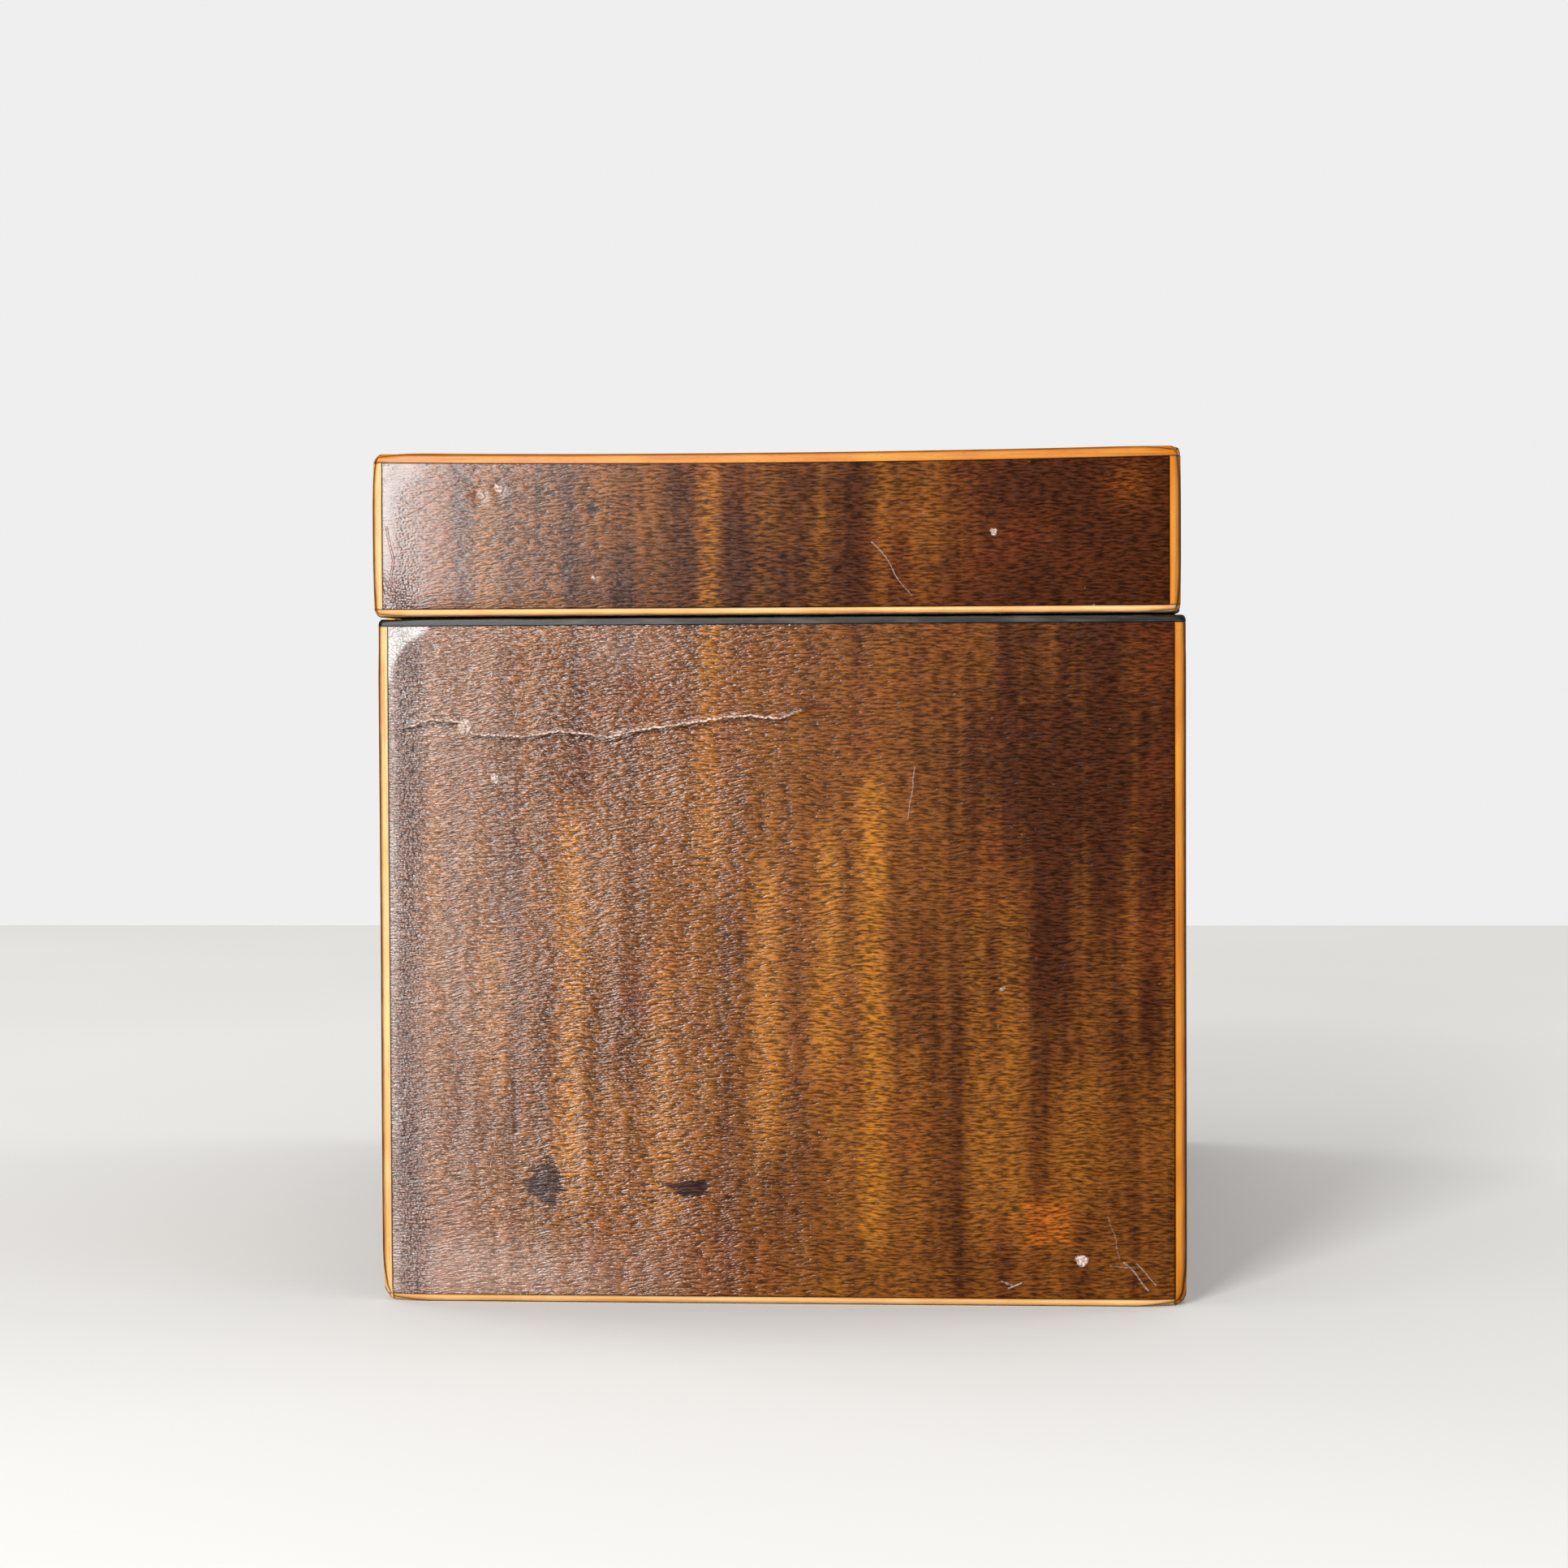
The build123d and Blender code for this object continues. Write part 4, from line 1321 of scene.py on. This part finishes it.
@dataclass
class Casing:
    """The worn outside of the body or the lid: its veneers, its edging and the black facing.

    Attributes:
        part: "body" or "lid", as its nodes' names start.
        body: The body that it rides on.
        outline: Its worn outline.
        hinges: The room that the hinges take.
        fine: Grid spacing on the left end.
        coarse: Grid spacing elsewhere.
    """

    part: str
    body: str
    outline: Outline
    hinges: HingeRoom = field(default_factory=HingeRoom)
    fine: float = 0.62
    coarse: float = 1.4

    def length_piece(
        self,
        side: Side,
        span: tuple[float, float, float],
        height: tuple[float, float],
        step: float,
        extra: tuple[Sequence[float], Sequence[float], Sequence[float]] = ((), (), ()),
        solid: Callable[[Array, Array, Array], Array] | None = None,
        mitred: bool = False,
        shape: Callable[[Array], Array] | None = None,
    ) -> tuple[Skin, Array]:
        """A length of wood along a wall.

        It is a lattice in the wall's own frame with eased edges. A mitred end is drawn in by its
        depth over the last 12 mm. The length is then set in its wall and worn with the outline.

        Args:
            side: The wall.
            span: Half its length, and its depths from and to.
            height: Its two heights.
            step: The grid spacing.
            extra: More grid lines along, into and up the wall.
            solid: Which cells are filled.
            mitred: Whether its ends are mitred.
            shape: A last change in the wall's own frame, before it is set in place.

        Returns:
            The skin, and its points in the wall's own frame before any change.
        """
        half, near, far = span
        lines = (
            grid_lines(-half, half, step, extra[0]),
            grid_lines(near, far, max(step, 1.5), extra[1]),
            grid_lines(*height, step, extra[2]),
        )
        skin = Skin.of_lattice(lines, solid)
        plain = skin.points.copy()
        own = Box(np.array([-half, near, height[0]]), np.array([half, far, height[1]]))
        local = own.rounded(skin.points, EASED)
        if mitred:
            run = 12.0
            past = np.maximum(np.abs(local[:, 0]) - (half - run), 0)
            local[:, 0] -= np.sign(local[:, 0]) * past * local[:, 1] / run
        if shape is not None:
            local = shape(local)
        placed = side.placed(local, self.outline.box)
        unworn = side.placed(plain, self.outline.box)
        if side is Side.BACK:
            placed = self.hinges.cleared(placed)
        skin.marks = self.outline.marks(unworn, Box(unworn.min(axis=0), unworn.max(axis=0)))
        skin.points = self.outline.worn(placed)
        return skin, plain

    def veneer(self, side: Side) -> bpy.types.Object:
        """The veneer of one wall, with its figure, its recesses and its damage.

        Args:
            side: The wall.

        Returns:
            The piece.
        """
        node = f"{self.part}_veneer_{side.word}"
        box = Box.of(node)
        other = 1 - side.axis
        half = box.half[other]
        thick = box.high[side.axis] - box.low[side.axis]
        hero = side is Side.LEFT
        step = self.fine if hero else self.coarse
        extra_along: list[float] = []
        extra_up: list[float] = []
        solid = None
        shape = None
        if side is Side.BACK:
            extra_along = self.hinges.lines()
        if side is Side.FRONT and self.part == "body":
            kite = KiteHole()
            extra_along, extra_up = kite.lines()
            solid, shape = kite.outside, kite.drawn_in
        if hero and self.part == "body":
            extra_up = list(np.arange(83.2, 89.4, 0.2))
        skin, plain = self.length_piece(
            side,
            (half, 0.0, thick),
            (box.low[2], box.high[2]),
            step,
            (extra_along, (), extra_up),
            solid,
            shape=shape,
        )
        whole = 2 * self.outline.box.half[other]
        along = plain[:, 0] + whole / 2
        skin.marks.update(WallFigure(side, whole).marks(along, plain[:, 2]))
        outer = np.clip(1 - plain[:, 1] / OUTER_SKIN, 0, 1)
        if hero and self.part == "body":
            skin.points[:, 0] -= outer * crack_lift(along, plain[:, 2])
            places, heights = np.array(CRACK).T
            skin.marks["crack_gap"] = plain[:, 2] - np.interp(along, places, heights)
            skin.marks["crack_run"] = smooth((along - places[0]) / 2) * smooth((places[-1] - along) / 5)
        if hero:
            chips = BODY_CHIPS if self.part == "body" else LID_CHIPS
            for chip in chips:
                far = chip.distance(along, plain[:, 2])
                skin.points[:, 0] += CHIP_DEPTH * outer * bell(far, 1.0)
        made = skin.piece(f"{self.part}_worn_veneer_{side.word}", [node], "dark_veneer", self.body)
        made.data.materials.append(self.veneer_finish(side).dress())
        return made

    def veneer_finish(self, side: Side) -> DarkVeneer:
        """The finish of one wall's veneer."""
        grain = Grain.ALONG_Y_ON_WALL if side.axis == 0 else Grain.ALONG_X_ON_WALL
        name = f"{self.part}_veneer_{side.word}"
        if side is not Side.LEFT:
            return DarkVeneer(name, grain)
        back = float(self.outline.box.high[1])
        if self.part == "body":
            return DarkVeneer(name, grain, back, True, 0.44, BODY_STROKES, BODY_CHIPS)
        return DarkVeneer(name, grain, back, False, 0.33, LID_STROKES, LID_CHIPS)

    def posts(self, fresh: bpy.types.Material, painted_light: bpy.types.Material) -> None:
        """The four upright edgings, as lattices with eased and then worn edges.

        Args:
            fresh: The finish of the front ones.
            painted_light: The finish of the back ones: a paler copy of the edging with a painted highlight.
        """
        for ends in ("front", "back"):
            for hand in ("left", "right"):
                node = f"{self.part}_edging_{ends}_{hand}"
                box = Box.of(node)
                steps = (0.3, 0.3, 1.2)
                lines = tuple(grid_lines(box.low[i], box.high[i], steps[i]) for i in range(3))
                skin = Skin.of_lattice(lines)
                skin.marks = self.outline.marks(skin.points, box)
                skin.points = self.outline.worn(box.rounded(skin.points, EASED))
                name = f"{self.part}_worn_edging_{ends}_{hand}"
                made = skin.piece(name, [node], "pale_edging", self.body)
                # The back uprights take the paler copy, a painted highlight; the front ones take the plain
                # finish.
                made.data.materials.append(fresh if ends == "front" else painted_light)

    def level_edging(
        self,
        node: str,
        name: str,
        finishes: tuple[bpy.types.Material, bpy.types.Material],
        mitred: bool,
        broken: bool = False,
    ) -> bpy.types.Object:
        """A level edging all round, of four lengths.

        Args:
            node: The frame's node.
            name: The piece's name.
            finishes: The finishes of the lengths along X and of those along Y.
            mitred: Whether the lengths meet in mitres, or end at the corner posts.
            broken: Whether the hinges' leaves cut right through the back length.

        Returns:
            The piece.
        """
        box = Box.of(node)
        depth = 1.8
        skins = []
        along_y = []
        for side in Side:
            half = self.outline.box.half[1 - side.axis]
            if not mitred:
                half = half - depth
            cut = broken and side is Side.BACK
            extra = self.hinges.lines() if cut else ()
            solid = self.hinges.cut_through if cut else None
            skin, _ = self.length_piece(
                side,
                (half, 0.0, depth),
                (box.low[2], box.high[2]),
                2.2,
                (extra, (), ()),
                solid,
                mitred,
            )
            skins.append(skin)
            along_y.append(np.full(len(skin.faces), side.axis == 0))
        made = Skin.joined(skins).piece(name, [node], "pale_edging", self.body)
        for finish in finishes:
            made.data.materials.append(finish)
        made.data.polygons.foreach_set("material_index", np.concatenate(along_y).astype(np.int32))
        return made

    def top(self) -> bpy.types.Object:
        """The lid's top veneer: a flat lattice whose upper side sinks with the lid.

        Returns:
            The piece.
        """
        node = "lid_veneer_top"
        box = Box.of(node)
        lines = (
            grid_lines(box.low[0], box.high[0], 1.5),
            grid_lines(box.low[1], box.high[1], 1.3),
            grid_lines(box.low[2], box.high[2], 0.5),
        )
        skin = Skin.of_lattice(lines)
        skin.marks = self.outline.marks(skin.points, box)
        x, y = skin.points[:, 0] + TOP_START[0], skin.points[:, 1] + TOP_START[1]
        depths = self.outline.box.depths(skin.points)
        edge = np.minimum(depths[:, 0], depths[:, 1])
        wander = ripple(x, y, 22.0, 91)
        draw = np.random.default_rng(90)
        count = 24
        middles = draw.uniform(5, 183, count)
        halves = draw.uniform(1.3, 2.8, count)
        strengths = draw.uniform(0.3, 0.9, count)
        patches = smooth(0.6 + ripple(x, y, 60.0, 92))
        gold = np.zeros(len(x))
        for middle, half, strength in zip(middles, halves, strengths):
            gold += strength * bell(x + 1.6 * wander - middle, half) * patches
        skin.marks.update(
            {
                "gold": gold,
                "shade": 0.2 * smooth(wander),
                "ink": 0.36 * smooth((ripple(x, y, 30.0, 93) - 0.45) / 0.4),
                "glare": np.zeros(len(x)),
                "rust": 0.5 * smooth((ripple(x, y, 33.0, 94) - 0.6) / 0.2),
                # Hazed polish with painted sheen near the top's edges.
                "bloom": 0.35 * smooth((12 + 6 * wander - edge) / 12),
                "crackle": 0.6 * smooth((8 + 3 * wander - edge) / 6),
                "sunken": 0.35 + 0.45 * smooth(0.5 + wander),
            }
        )
        skin.points = self.outline.worn(box.rounded(skin.points, EASED), thin=True)
        made = skin.piece("lid_worn_veneer_top", [node], "dark_veneer", self.body)
        made.data.materials.append(DarkVeneer("lid_veneer_top", Grain.ALONG_X_ON_TOP).dress())
        return made

    def rim(self, finish: bpy.types.Material) -> None:
        """The black facing of the rim: four mitred lengths, cut for the lock and the hinges.

        Args:
            finish: Its material.
        """
        selvedge = Box.of("lock_selvedge")
        lip = selvedge.low[1] - self.outline.box.low[1]
        reach = selvedge.high[0]
        seat = self.outline.box.high[1] - self.hinges.leaf.low[1]

        def round_lock(s: Array, d: Array, z: Array) -> Array:
            """Whether cells lie outside the seat of the lock's selvedge."""
            return ~((np.abs(s) < reach) & (d > lip))

        def round_leaves(s: Array, d: Array, z: Array) -> Array:
            """Whether cells lie outside the seats of the hinges' leaves."""
            return ~(self.hinges.beside(s) & (d < seat))

        for side in Side:
            node = f"rim_facing_{side.word}"
            box = Box.of(node)
            band = box.high[side.axis] - box.low[side.axis]
            half = self.outline.box.half[1 - side.axis]
            extra: tuple[Sequence[float], Sequence[float], Sequence[float]] = ((), (), ())
            solid = None
            if side is Side.FRONT:
                extra = ((-reach, reach), (lip,), ())
                solid = round_lock
            if side is Side.BACK:
                spans = [sign * end for sign in (-1, 1) for end in self.hinges.span]
                extra = (spans, (seat,), ())
                solid = round_leaves
            skin, _ = self.length_piece(
                side,
                (half, 0.0, band),
                (box.low[2], box.high[2]),
                1.6,
                extra,
                solid,
                True,
            )
            made = skin.piece(f"rim_worn_facing_{side.word}", [node], "black_facing", self.body)
            made.data.materials.append(finish)


@dataclass(frozen=True)
class KiteHole:
    """The kite-shaped hole in the front veneer, which the escutcheon fills.

    Attributes:
        box: The escutcheon's box.
        rise: The height of the kite above its widest line.
    """

    box: Box = field(default_factory=lambda: Box.of("keyhole_escutcheon"))
    rise: float = 5.0

    @property
    def waist(self) -> float:
        """The height of the kite's widest line."""
        return self.box.high[2] - self.rise

    def _shares(self, local: Array) -> tuple[Array, Array]:
        """How far out each point lies: as a share of the square hole, and of the kite."""
        across = np.abs(local[:, 0]) / self.box.half[0]
        up = local[:, 2] - self.waist
        fall = self.waist - self.box.low[2]
        upward = np.where(up > 0, up / self.rise, -up / fall)
        return np.maximum(across, upward), across + upward

    def lines(self) -> tuple[list[float], list[float]]:
        """Grid lines along the wall and up it, close together over the hole."""
        across = list(np.linspace(-1.5, 1.5, 25) * self.box.half[0])
        up = list(np.linspace(self.box.low[2], self.box.high[2], 19))
        return across + [-self.box.half[0], self.box.half[0]], up + [self.waist]

    def outside(self, s: Array, d: Array, z: Array) -> Array:
        """Whether cells lie outside the square hole that the kite is drawn from."""
        inside = (np.abs(s) < self.box.half[0]) & (z > self.box.low[2]) & (z < self.box.high[2])
        return ~inside

    def drawn_in(self, local: Array) -> Array:
        """Draw the square hole in to the kite, fading out to three times its size.

        A point on the square's edge moves towards the middle by the square's share over the
        kite's, which sets it on the kite.

        Args:
            local: Points in the wall's own frame.

        Returns:
            The moved points.
        """
        square, kite = self._shares(local)
        wanted = square / np.maximum(kite, 1e-6)
        fade = 1 - smooth((square - 1) / 2)
        scale = 1 + (wanted - 1) * fade
        moved = local.copy()
        moved[:, 0] = local[:, 0] * scale
        moved[:, 2] = self.waist + (local[:, 2] - self.waist) * scale
        return moved


# ---- Inside ----


@dataclass
class Interior:
    """What lies inside: the foil linings, the two inner lids and the lid's paper.

    Attributes:
        tenon: Half the width of the hole for a knob's tenon.
    """

    tenon: float = 1.75

    def foil(self, hand: str, finish: bpy.types.Material) -> None:
        """A foil lining: an open tray whose inner side is crumpled by small swells.

        Args:
            hand: "left" or "right".
            finish: Its material.
        """
        node = f"foil_lining_{hand}"
        box = Box.of(node)
        sheet = 0.3
        marks = [(box.low[i] + sheet, box.high[i] - sheet) for i in range(3)]
        lines = (
            np.unique(np.concatenate([np.linspace(box.low[0], box.high[0], 66), marks[0]])),
            np.unique(np.concatenate([np.linspace(box.low[1], box.high[1], 80), marks[1]])),
            np.unique(np.concatenate([np.linspace(box.low[2], box.high[2], 62), marks[2][:1]])),
        )

        def solid(x: Array, y: Array, z: Array) -> Array:
            """Whether cells lie in the tray's walls or floor."""
            near_x = np.minimum(x - box.low[0], box.high[0] - x) < sheet
            near_y = np.minimum(y - box.low[1], box.high[1] - y) < sheet
            return near_x | near_y | (z - box.low[2] < sheet)

        skin = Skin.of_lattice(lines, solid)
        x, y, z = skin.points.T
        depth = box.depths(skin.points)
        inner = (depth[:, 0] > 0.2) & (depth[:, 1] > 0.2) & (z > box.low[2] + 0.2)
        toward = np.sign(box.middle - skin.points)
        wall_x = inner & (depth[:, 0] < 0.35)
        wall_y = inner & (depth[:, 1] < 0.35)
        floor = inner & (z < box.low[2] + 0.35)
        folds = 0.16 * (1 + ripple(y, z, 9.0, 51) + 0.6 * ripple(y, z, 3.5, 52))
        skin.points[:, 0] += np.where(wall_x, toward[:, 0] * folds, 0)
        folds = 0.16 * (1 + ripple(x, z, 9.0, 53) + 0.6 * ripple(x, z, 3.5, 54))
        skin.points[:, 1] += np.where(wall_y, toward[:, 1] * folds, 0)
        folds = 0.16 * (1 + ripple(x, y, 11.0, 55) + 0.6 * ripple(x, y, 4.0, 56))
        skin.points[:, 2] += np.where(floor, folds, 0)
        made = skin.piece(f"foil_crumpled_{hand}", [node], "tin_foil", "caddy_body")
        made.data.materials.append(finish)

    def inner_lid(self, hand: str, finish: bpy.types.Material) -> None:
        """An inner lid: a board with softly rounded edges, a slight cup and its knob's hole.

        Args:
            hand: "left" or "right".
            finish: Its material.
        """
        node = f"inner_lid_{hand}"
        box = Box.of(node)
        knob = Box.of(f"inner_lid_knob_{hand}").middle
        hole = [(knob[i] - self.tenon, knob[i] + self.tenon) for i in (0, 1)]
        lines = (
            grid_lines(box.low[0], box.high[0], 1.8, hole[0]),
            grid_lines(box.low[1], box.high[1], 1.8, hole[1]),
            grid_lines(box.low[2], box.high[2], 0.8),
        )

        def solid(x: Array, y: Array, z: Array) -> Array:
            """Whether cells lie outside the tenon's hole."""
            return ~((np.abs(x - knob[0]) < self.tenon) & (np.abs(y - knob[1]) < self.tenon))

        skin = Skin.of_lattice(lines, solid)
        x, y, z = skin.points.T
        uneven = 0.75 + 0.2 * ripple(x + y, z, 16.0, 61)
        skin.points = box.rounded(skin.points, uneven)
        upper = np.clip((z - box.middle[2]) / box.half[2], 0, 1)
        skin.points[:, 2] -= upper * 0.05 * (1 + ripple(x, y, 30.0, 62))
        made = skin.piece(f"inner_lid_board_{hand}", [node], "mahogany", node)
        made.data.materials.append(finish)

    def paper(self, finish: bpy.types.Material) -> None:
        """The lid's lining paper: a sheet whose face has cockled where the paste let go.

        Args:
            finish: Its material.
        """
        node = "lid_lining"
        box = Box.of(node)
        lines = (
            grid_lines(box.low[0], box.high[0], 1.6),
            grid_lines(box.low[1], box.high[1], 1.6),
            np.array([box.low[2], box.middle[2], box.high[2]]),
        )
        skin = Skin.of_lattice(lines)
        x, y, z = skin.points.T
        edge = smooth(np.minimum(*box.depths(skin.points)[:, :2].T) / 5)
        cockle = np.maximum(ripple(x, y, 26.0, 71), 0) + 0.35 * (1 + ripple(x, y, 8.0, 72))
        skin.points[:, 2] -= np.where(z < box.middle[2], 0.32 * cockle * edge, 0)
        made = skin.piece("lid_lining_paper", [node], "lining_paper", "lid")
        made.data.materials.append(finish)

    def build(
        self, mahogany: bpy.types.Material, foil: bpy.types.Material, paper: bpy.types.Material
    ) -> None:
        """Make both compartments' pieces and the lid's paper.

        Args:
            mahogany: The inner lids' material.
            foil: The linings' material.
            paper: The paper's material.
        """
        for hand in ("left", "right"):
            self.foil(hand, foil)
            self.inner_lid(hand, mahogany)
        self.paper(paper)


@dataclass
class KeptNodes:
    """The frame's own nodes that stay as they are, with better materials in their slots."""

    finishes: dict[str, bpy.types.Material]

    def dress(self, nodes: dict[str, bpy.types.Object]) -> None:
        """Give every node that still shows the finish of the longest word its name starts with.

        Args:
            nodes: The frame's nodes by name.

        Raises:
            ValueError: If a node that shows has no finish.
        """
        for name, node in sorted(nodes.items()):
            if node.hide_render:
                continue
            found = [word for word in self.finishes if name.startswith(word)]
            if not found:
                raise ValueError(f"no finish for {name}")
            finish = self.finishes[max(found, key=len)]
            for slot in node.material_slots:
                slot.material = finish
            log.info("%s: kept, finished as %s", name, finish.name)


# ---- Studio ----


@dataclass
class Studio:
    """The floor, the light and the camera.

    Attributes:
        camera_place: The camera's place, in metres.
        yaw, pitch, roll: Its turns in degrees: towards +Y, upwards, and anticlockwise as seen from
            behind it.
        lens: Its lens on a sensor 36 mm wide.
    """

    camera_place: tuple[float, float, float] = (-0.594, -0.0379, 0.0908)
    yaw: float = 4.04
    pitch: float = -1.56
    roll: float = -0.265
    lens: float = 78.0

    def camera(self) -> None:
        """Set the camera nearly square to the left end, a little above its middle."""
        data = bpy.data.cameras.new("camera")
        data.lens = self.lens
        data.sensor_width = 36.0
        data.clip_start = 0.01
        data.clip_end = 50.0
        made = bpy.data.objects.new("camera", data)
        bpy.context.scene.collection.objects.link(made)
        yaw, pitch = math.radians(self.yaw), math.radians(self.pitch)
        ahead = Vector((math.cos(yaw) * math.cos(pitch), math.sin(yaw) * math.cos(pitch), math.sin(pitch)))
        turn = ahead.to_track_quat("-Z", "Y").to_matrix() @ Matrix.Rotation(math.radians(self.roll), 3, "Z")
        made.matrix_world = Matrix.Translation(self.camera_place) @ turn.to_4x4()
        bpy.context.scene.camera = made

    def softbox(
        self,
        name: str,
        azimuth: float,
        elevation: float,
        distance: float,
        size: tuple[float, float],
        power: float,
    ) -> None:
        """A soft rectangular light turned to the caddy.

        Args:
            name: The light's name.
            azimuth: Its heading from the caddy, in degrees from +X towards +Y.
            elevation: Its height, in degrees.
            distance: How far away it stands, in metres.
            size: Its width and height, in metres.
            power: Its power, in watts.
        """
        data = bpy.data.lights.new(name, "AREA")
        data.shape = "RECTANGLE"
        data.size, data.size_y = size
        data.energy = power
        made = bpy.data.objects.new(name, data)
        bpy.context.scene.collection.objects.link(made)
        heading, rise = math.radians(azimuth), math.radians(elevation)
        away = Vector(
            (math.cos(heading) * math.cos(rise), math.sin(heading) * math.cos(rise), math.sin(rise))
        )
        centre = Vector((0.0, 0.0, 0.06))
        made.location = centre + away * distance
        made.rotation_euler = away.to_track_quat("Z", "Y").to_euler()
        made.visible_camera = False

    def world(self, brightness: float) -> None:
        """An even pale surround that lights the caddy but isn't mirrored in its polish.

        Args:
            brightness: Its strength.
        """
        world = bpy.data.worlds.new("surround")
        world.use_nodes = True
        backdrop = world.node_tree.nodes["Background"]
        backdrop.inputs["Color"].default_value = (*tint(250, 250, 250), 1.0)
        backdrop.inputs["Strength"].default_value = brightness
        bpy.context.scene.world = world
        world.cycles_visibility.glossy = False  # set last, because setting it looks for the scene's world

    def floor(self) -> None:
        """A broad pale floor under the caddy, which ends behind it and isn't mirrored in its polish."""
        half, back = 4.0, 0.72
        corners = np.array([(-half, -half, 0), (back, -half, 0), (back, half, 0), (-half, half, 0)])
        mesh = bpy.data.meshes.new("studio_floor")
        mesh.from_pydata(corners, [], np.array([(0, 1, 2, 3)]))
        mesh.materials.append(StudioFloor("studio_floor").dress())
        made = bpy.data.objects.new("studio_floor", mesh)
        bpy.context.scene.collection.objects.link(made)
        made.visible_glossy = False

    def build(self) -> None:
        """Set up the camera, the floor and the lights."""
        self.camera()
        self.floor()
        self.world(0.9)
        self.softbox("window", 162.3, 14.0, 1.3, (0.3, 1.0), 23.0)
        self.softbox("fill_front", 285.0, 30.0, 1.8, (0.8, 0.8), 7.0)
        self.softbox("fill_back", 60.0, 30.0, 1.8, (0.8, 0.8), 7.0)
        self.softbox("overhead", 0.0, 88.0, 1.6, (0.8, 0.8), 3.0)
        bpy.context.scene.view_settings.view_transform = "Standard"


def main() -> None:
    """Build the caddy's looks in order."""
    logging.basicConfig(level=logging.INFO, format="%(name)s: %(message)s", force=True)
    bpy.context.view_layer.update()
    studio = Studio()
    studio.build()

    walls = ("body_veneer_left", "body_veneer_right", "body_edging_front_left")
    body_box = Box.of(*walls, "rim_facing_left", "base_edging")
    lid_box = Box.of("lid_top_edging", "lid_lower_edging")
    body_outline = Outline(
        body_box, arris=0.5, level_low=0.3, level_high=0.2, foot=2.6, head=0.8, reach=7.5, dip=0.0, seed=3
    )
    lid_outline = Outline(
        lid_box, arris=0.5, level_low=0.32, level_high=0.5, foot=1.6, head=2.0, reach=6.0, dip=0.62, seed=8
    )
    body = Casing("body", "caddy_body", body_outline)
    lid = Casing("lid", "lid", lid_outline)
    upright = PaleEdging("edging_upright", Grain.ALONG_Z_ON_WALL).dress()
    along_x = PaleEdging("edging_along_x", Grain.ALONG_X_ON_WALL).dress()
    along_y = PaleEdging("edging_along_y", Grain.ALONG_Y_ON_WALL).dress()
    # A paler palette: wear on the low level edgings, and a painted highlight on the back uprights, which
    # take it as a lit copy of the edging.
    pale_worn_and_lit = (tint(218, 172, 112), tint(202, 148, 82), tint(154, 94, 38))
    painted_light = PaleEdging("edging_painted_light_upright", Grain.ALONG_Z_ON_WALL, *pale_worn_and_lit).dress()
    low_x = PaleEdging("edging_bleached_along_x", Grain.ALONG_X_ON_WALL, *pale_worn_and_lit).dress()
    low_y = PaleEdging("edging_bleached_along_y", Grain.ALONG_Y_ON_WALL, *pale_worn_and_lit).dress()
    black = BlackFacing("rim_black").dress()

    for casing in (body, lid):
        for side in Side:
            casing.veneer(side)
        casing.posts(upright, painted_light)
    body.rim(black)
    body.level_edging("base_edging", "base_worn_edging", (low_x, low_y), False)
    lid.level_edging("lid_lower_edging", "lid_worn_lower_edging", (low_x, low_y), True, True)
    lid.level_edging("lid_top_edging", "lid_worn_top_edging", (along_x, along_y), True)
    lid.top()

    pine = PlainWood(
        "pine", Grain.ALONG_X_ON_WALL, tint(190, 146, 92), tint(150, 102, 56), tint(92, 60, 34), 3.0, 0.6
    ).dress()
    mahogany = PlainWood(
        "mahogany", Grain.ALONG_Y_ON_WALL, tint(122, 68, 36), tint(88, 42, 22), tint(46, 20, 12), 4.5, 0.3
    ).dress()
    brass = OldMetal("brass", tint(214, 168, 86), tint(122, 88, 40), 0.28).dress()
    steel = OldMetal("steel", tint(168, 166, 162), tint(96, 84, 74), 0.32).dress()
    iron = OldMetal("iron", tint(110, 104, 98), tint(66, 46, 34), 0.42).dress()
    foil = OldMetal("tin_foil", tint(196, 196, 194), tint(120, 116, 110), 0.34, 0.35, True).dress()
    bone = Bone("bone").dress()
    paper = LiningPaper("lining_paper").dress()

    Interior().build(mahogany, foil, paper)
    kept = {
        "carcass": pine,
        "lid_rail": pine,
        "lid_top_board": pine,
        "compartment_divider": mahogany,
        "lining_boards": mahogany,
        "inner_lid_knob": bone,
        "keyhole_escutcheon": bone,
        "hinge": brass,
        "hinge_pin": steel,
        "hinge_body_screws": iron,
        "hinge_lid_screws": iron,
        "lock": brass,
        "lock_bolt": steel,
        "lock_key_pin": steel,
        "strike_plate": brass,
        "strike_screws": iron,
    }
    KeptNodes(kept).dress(frame["nodes"])


if __name__ == "__main__":
    main()
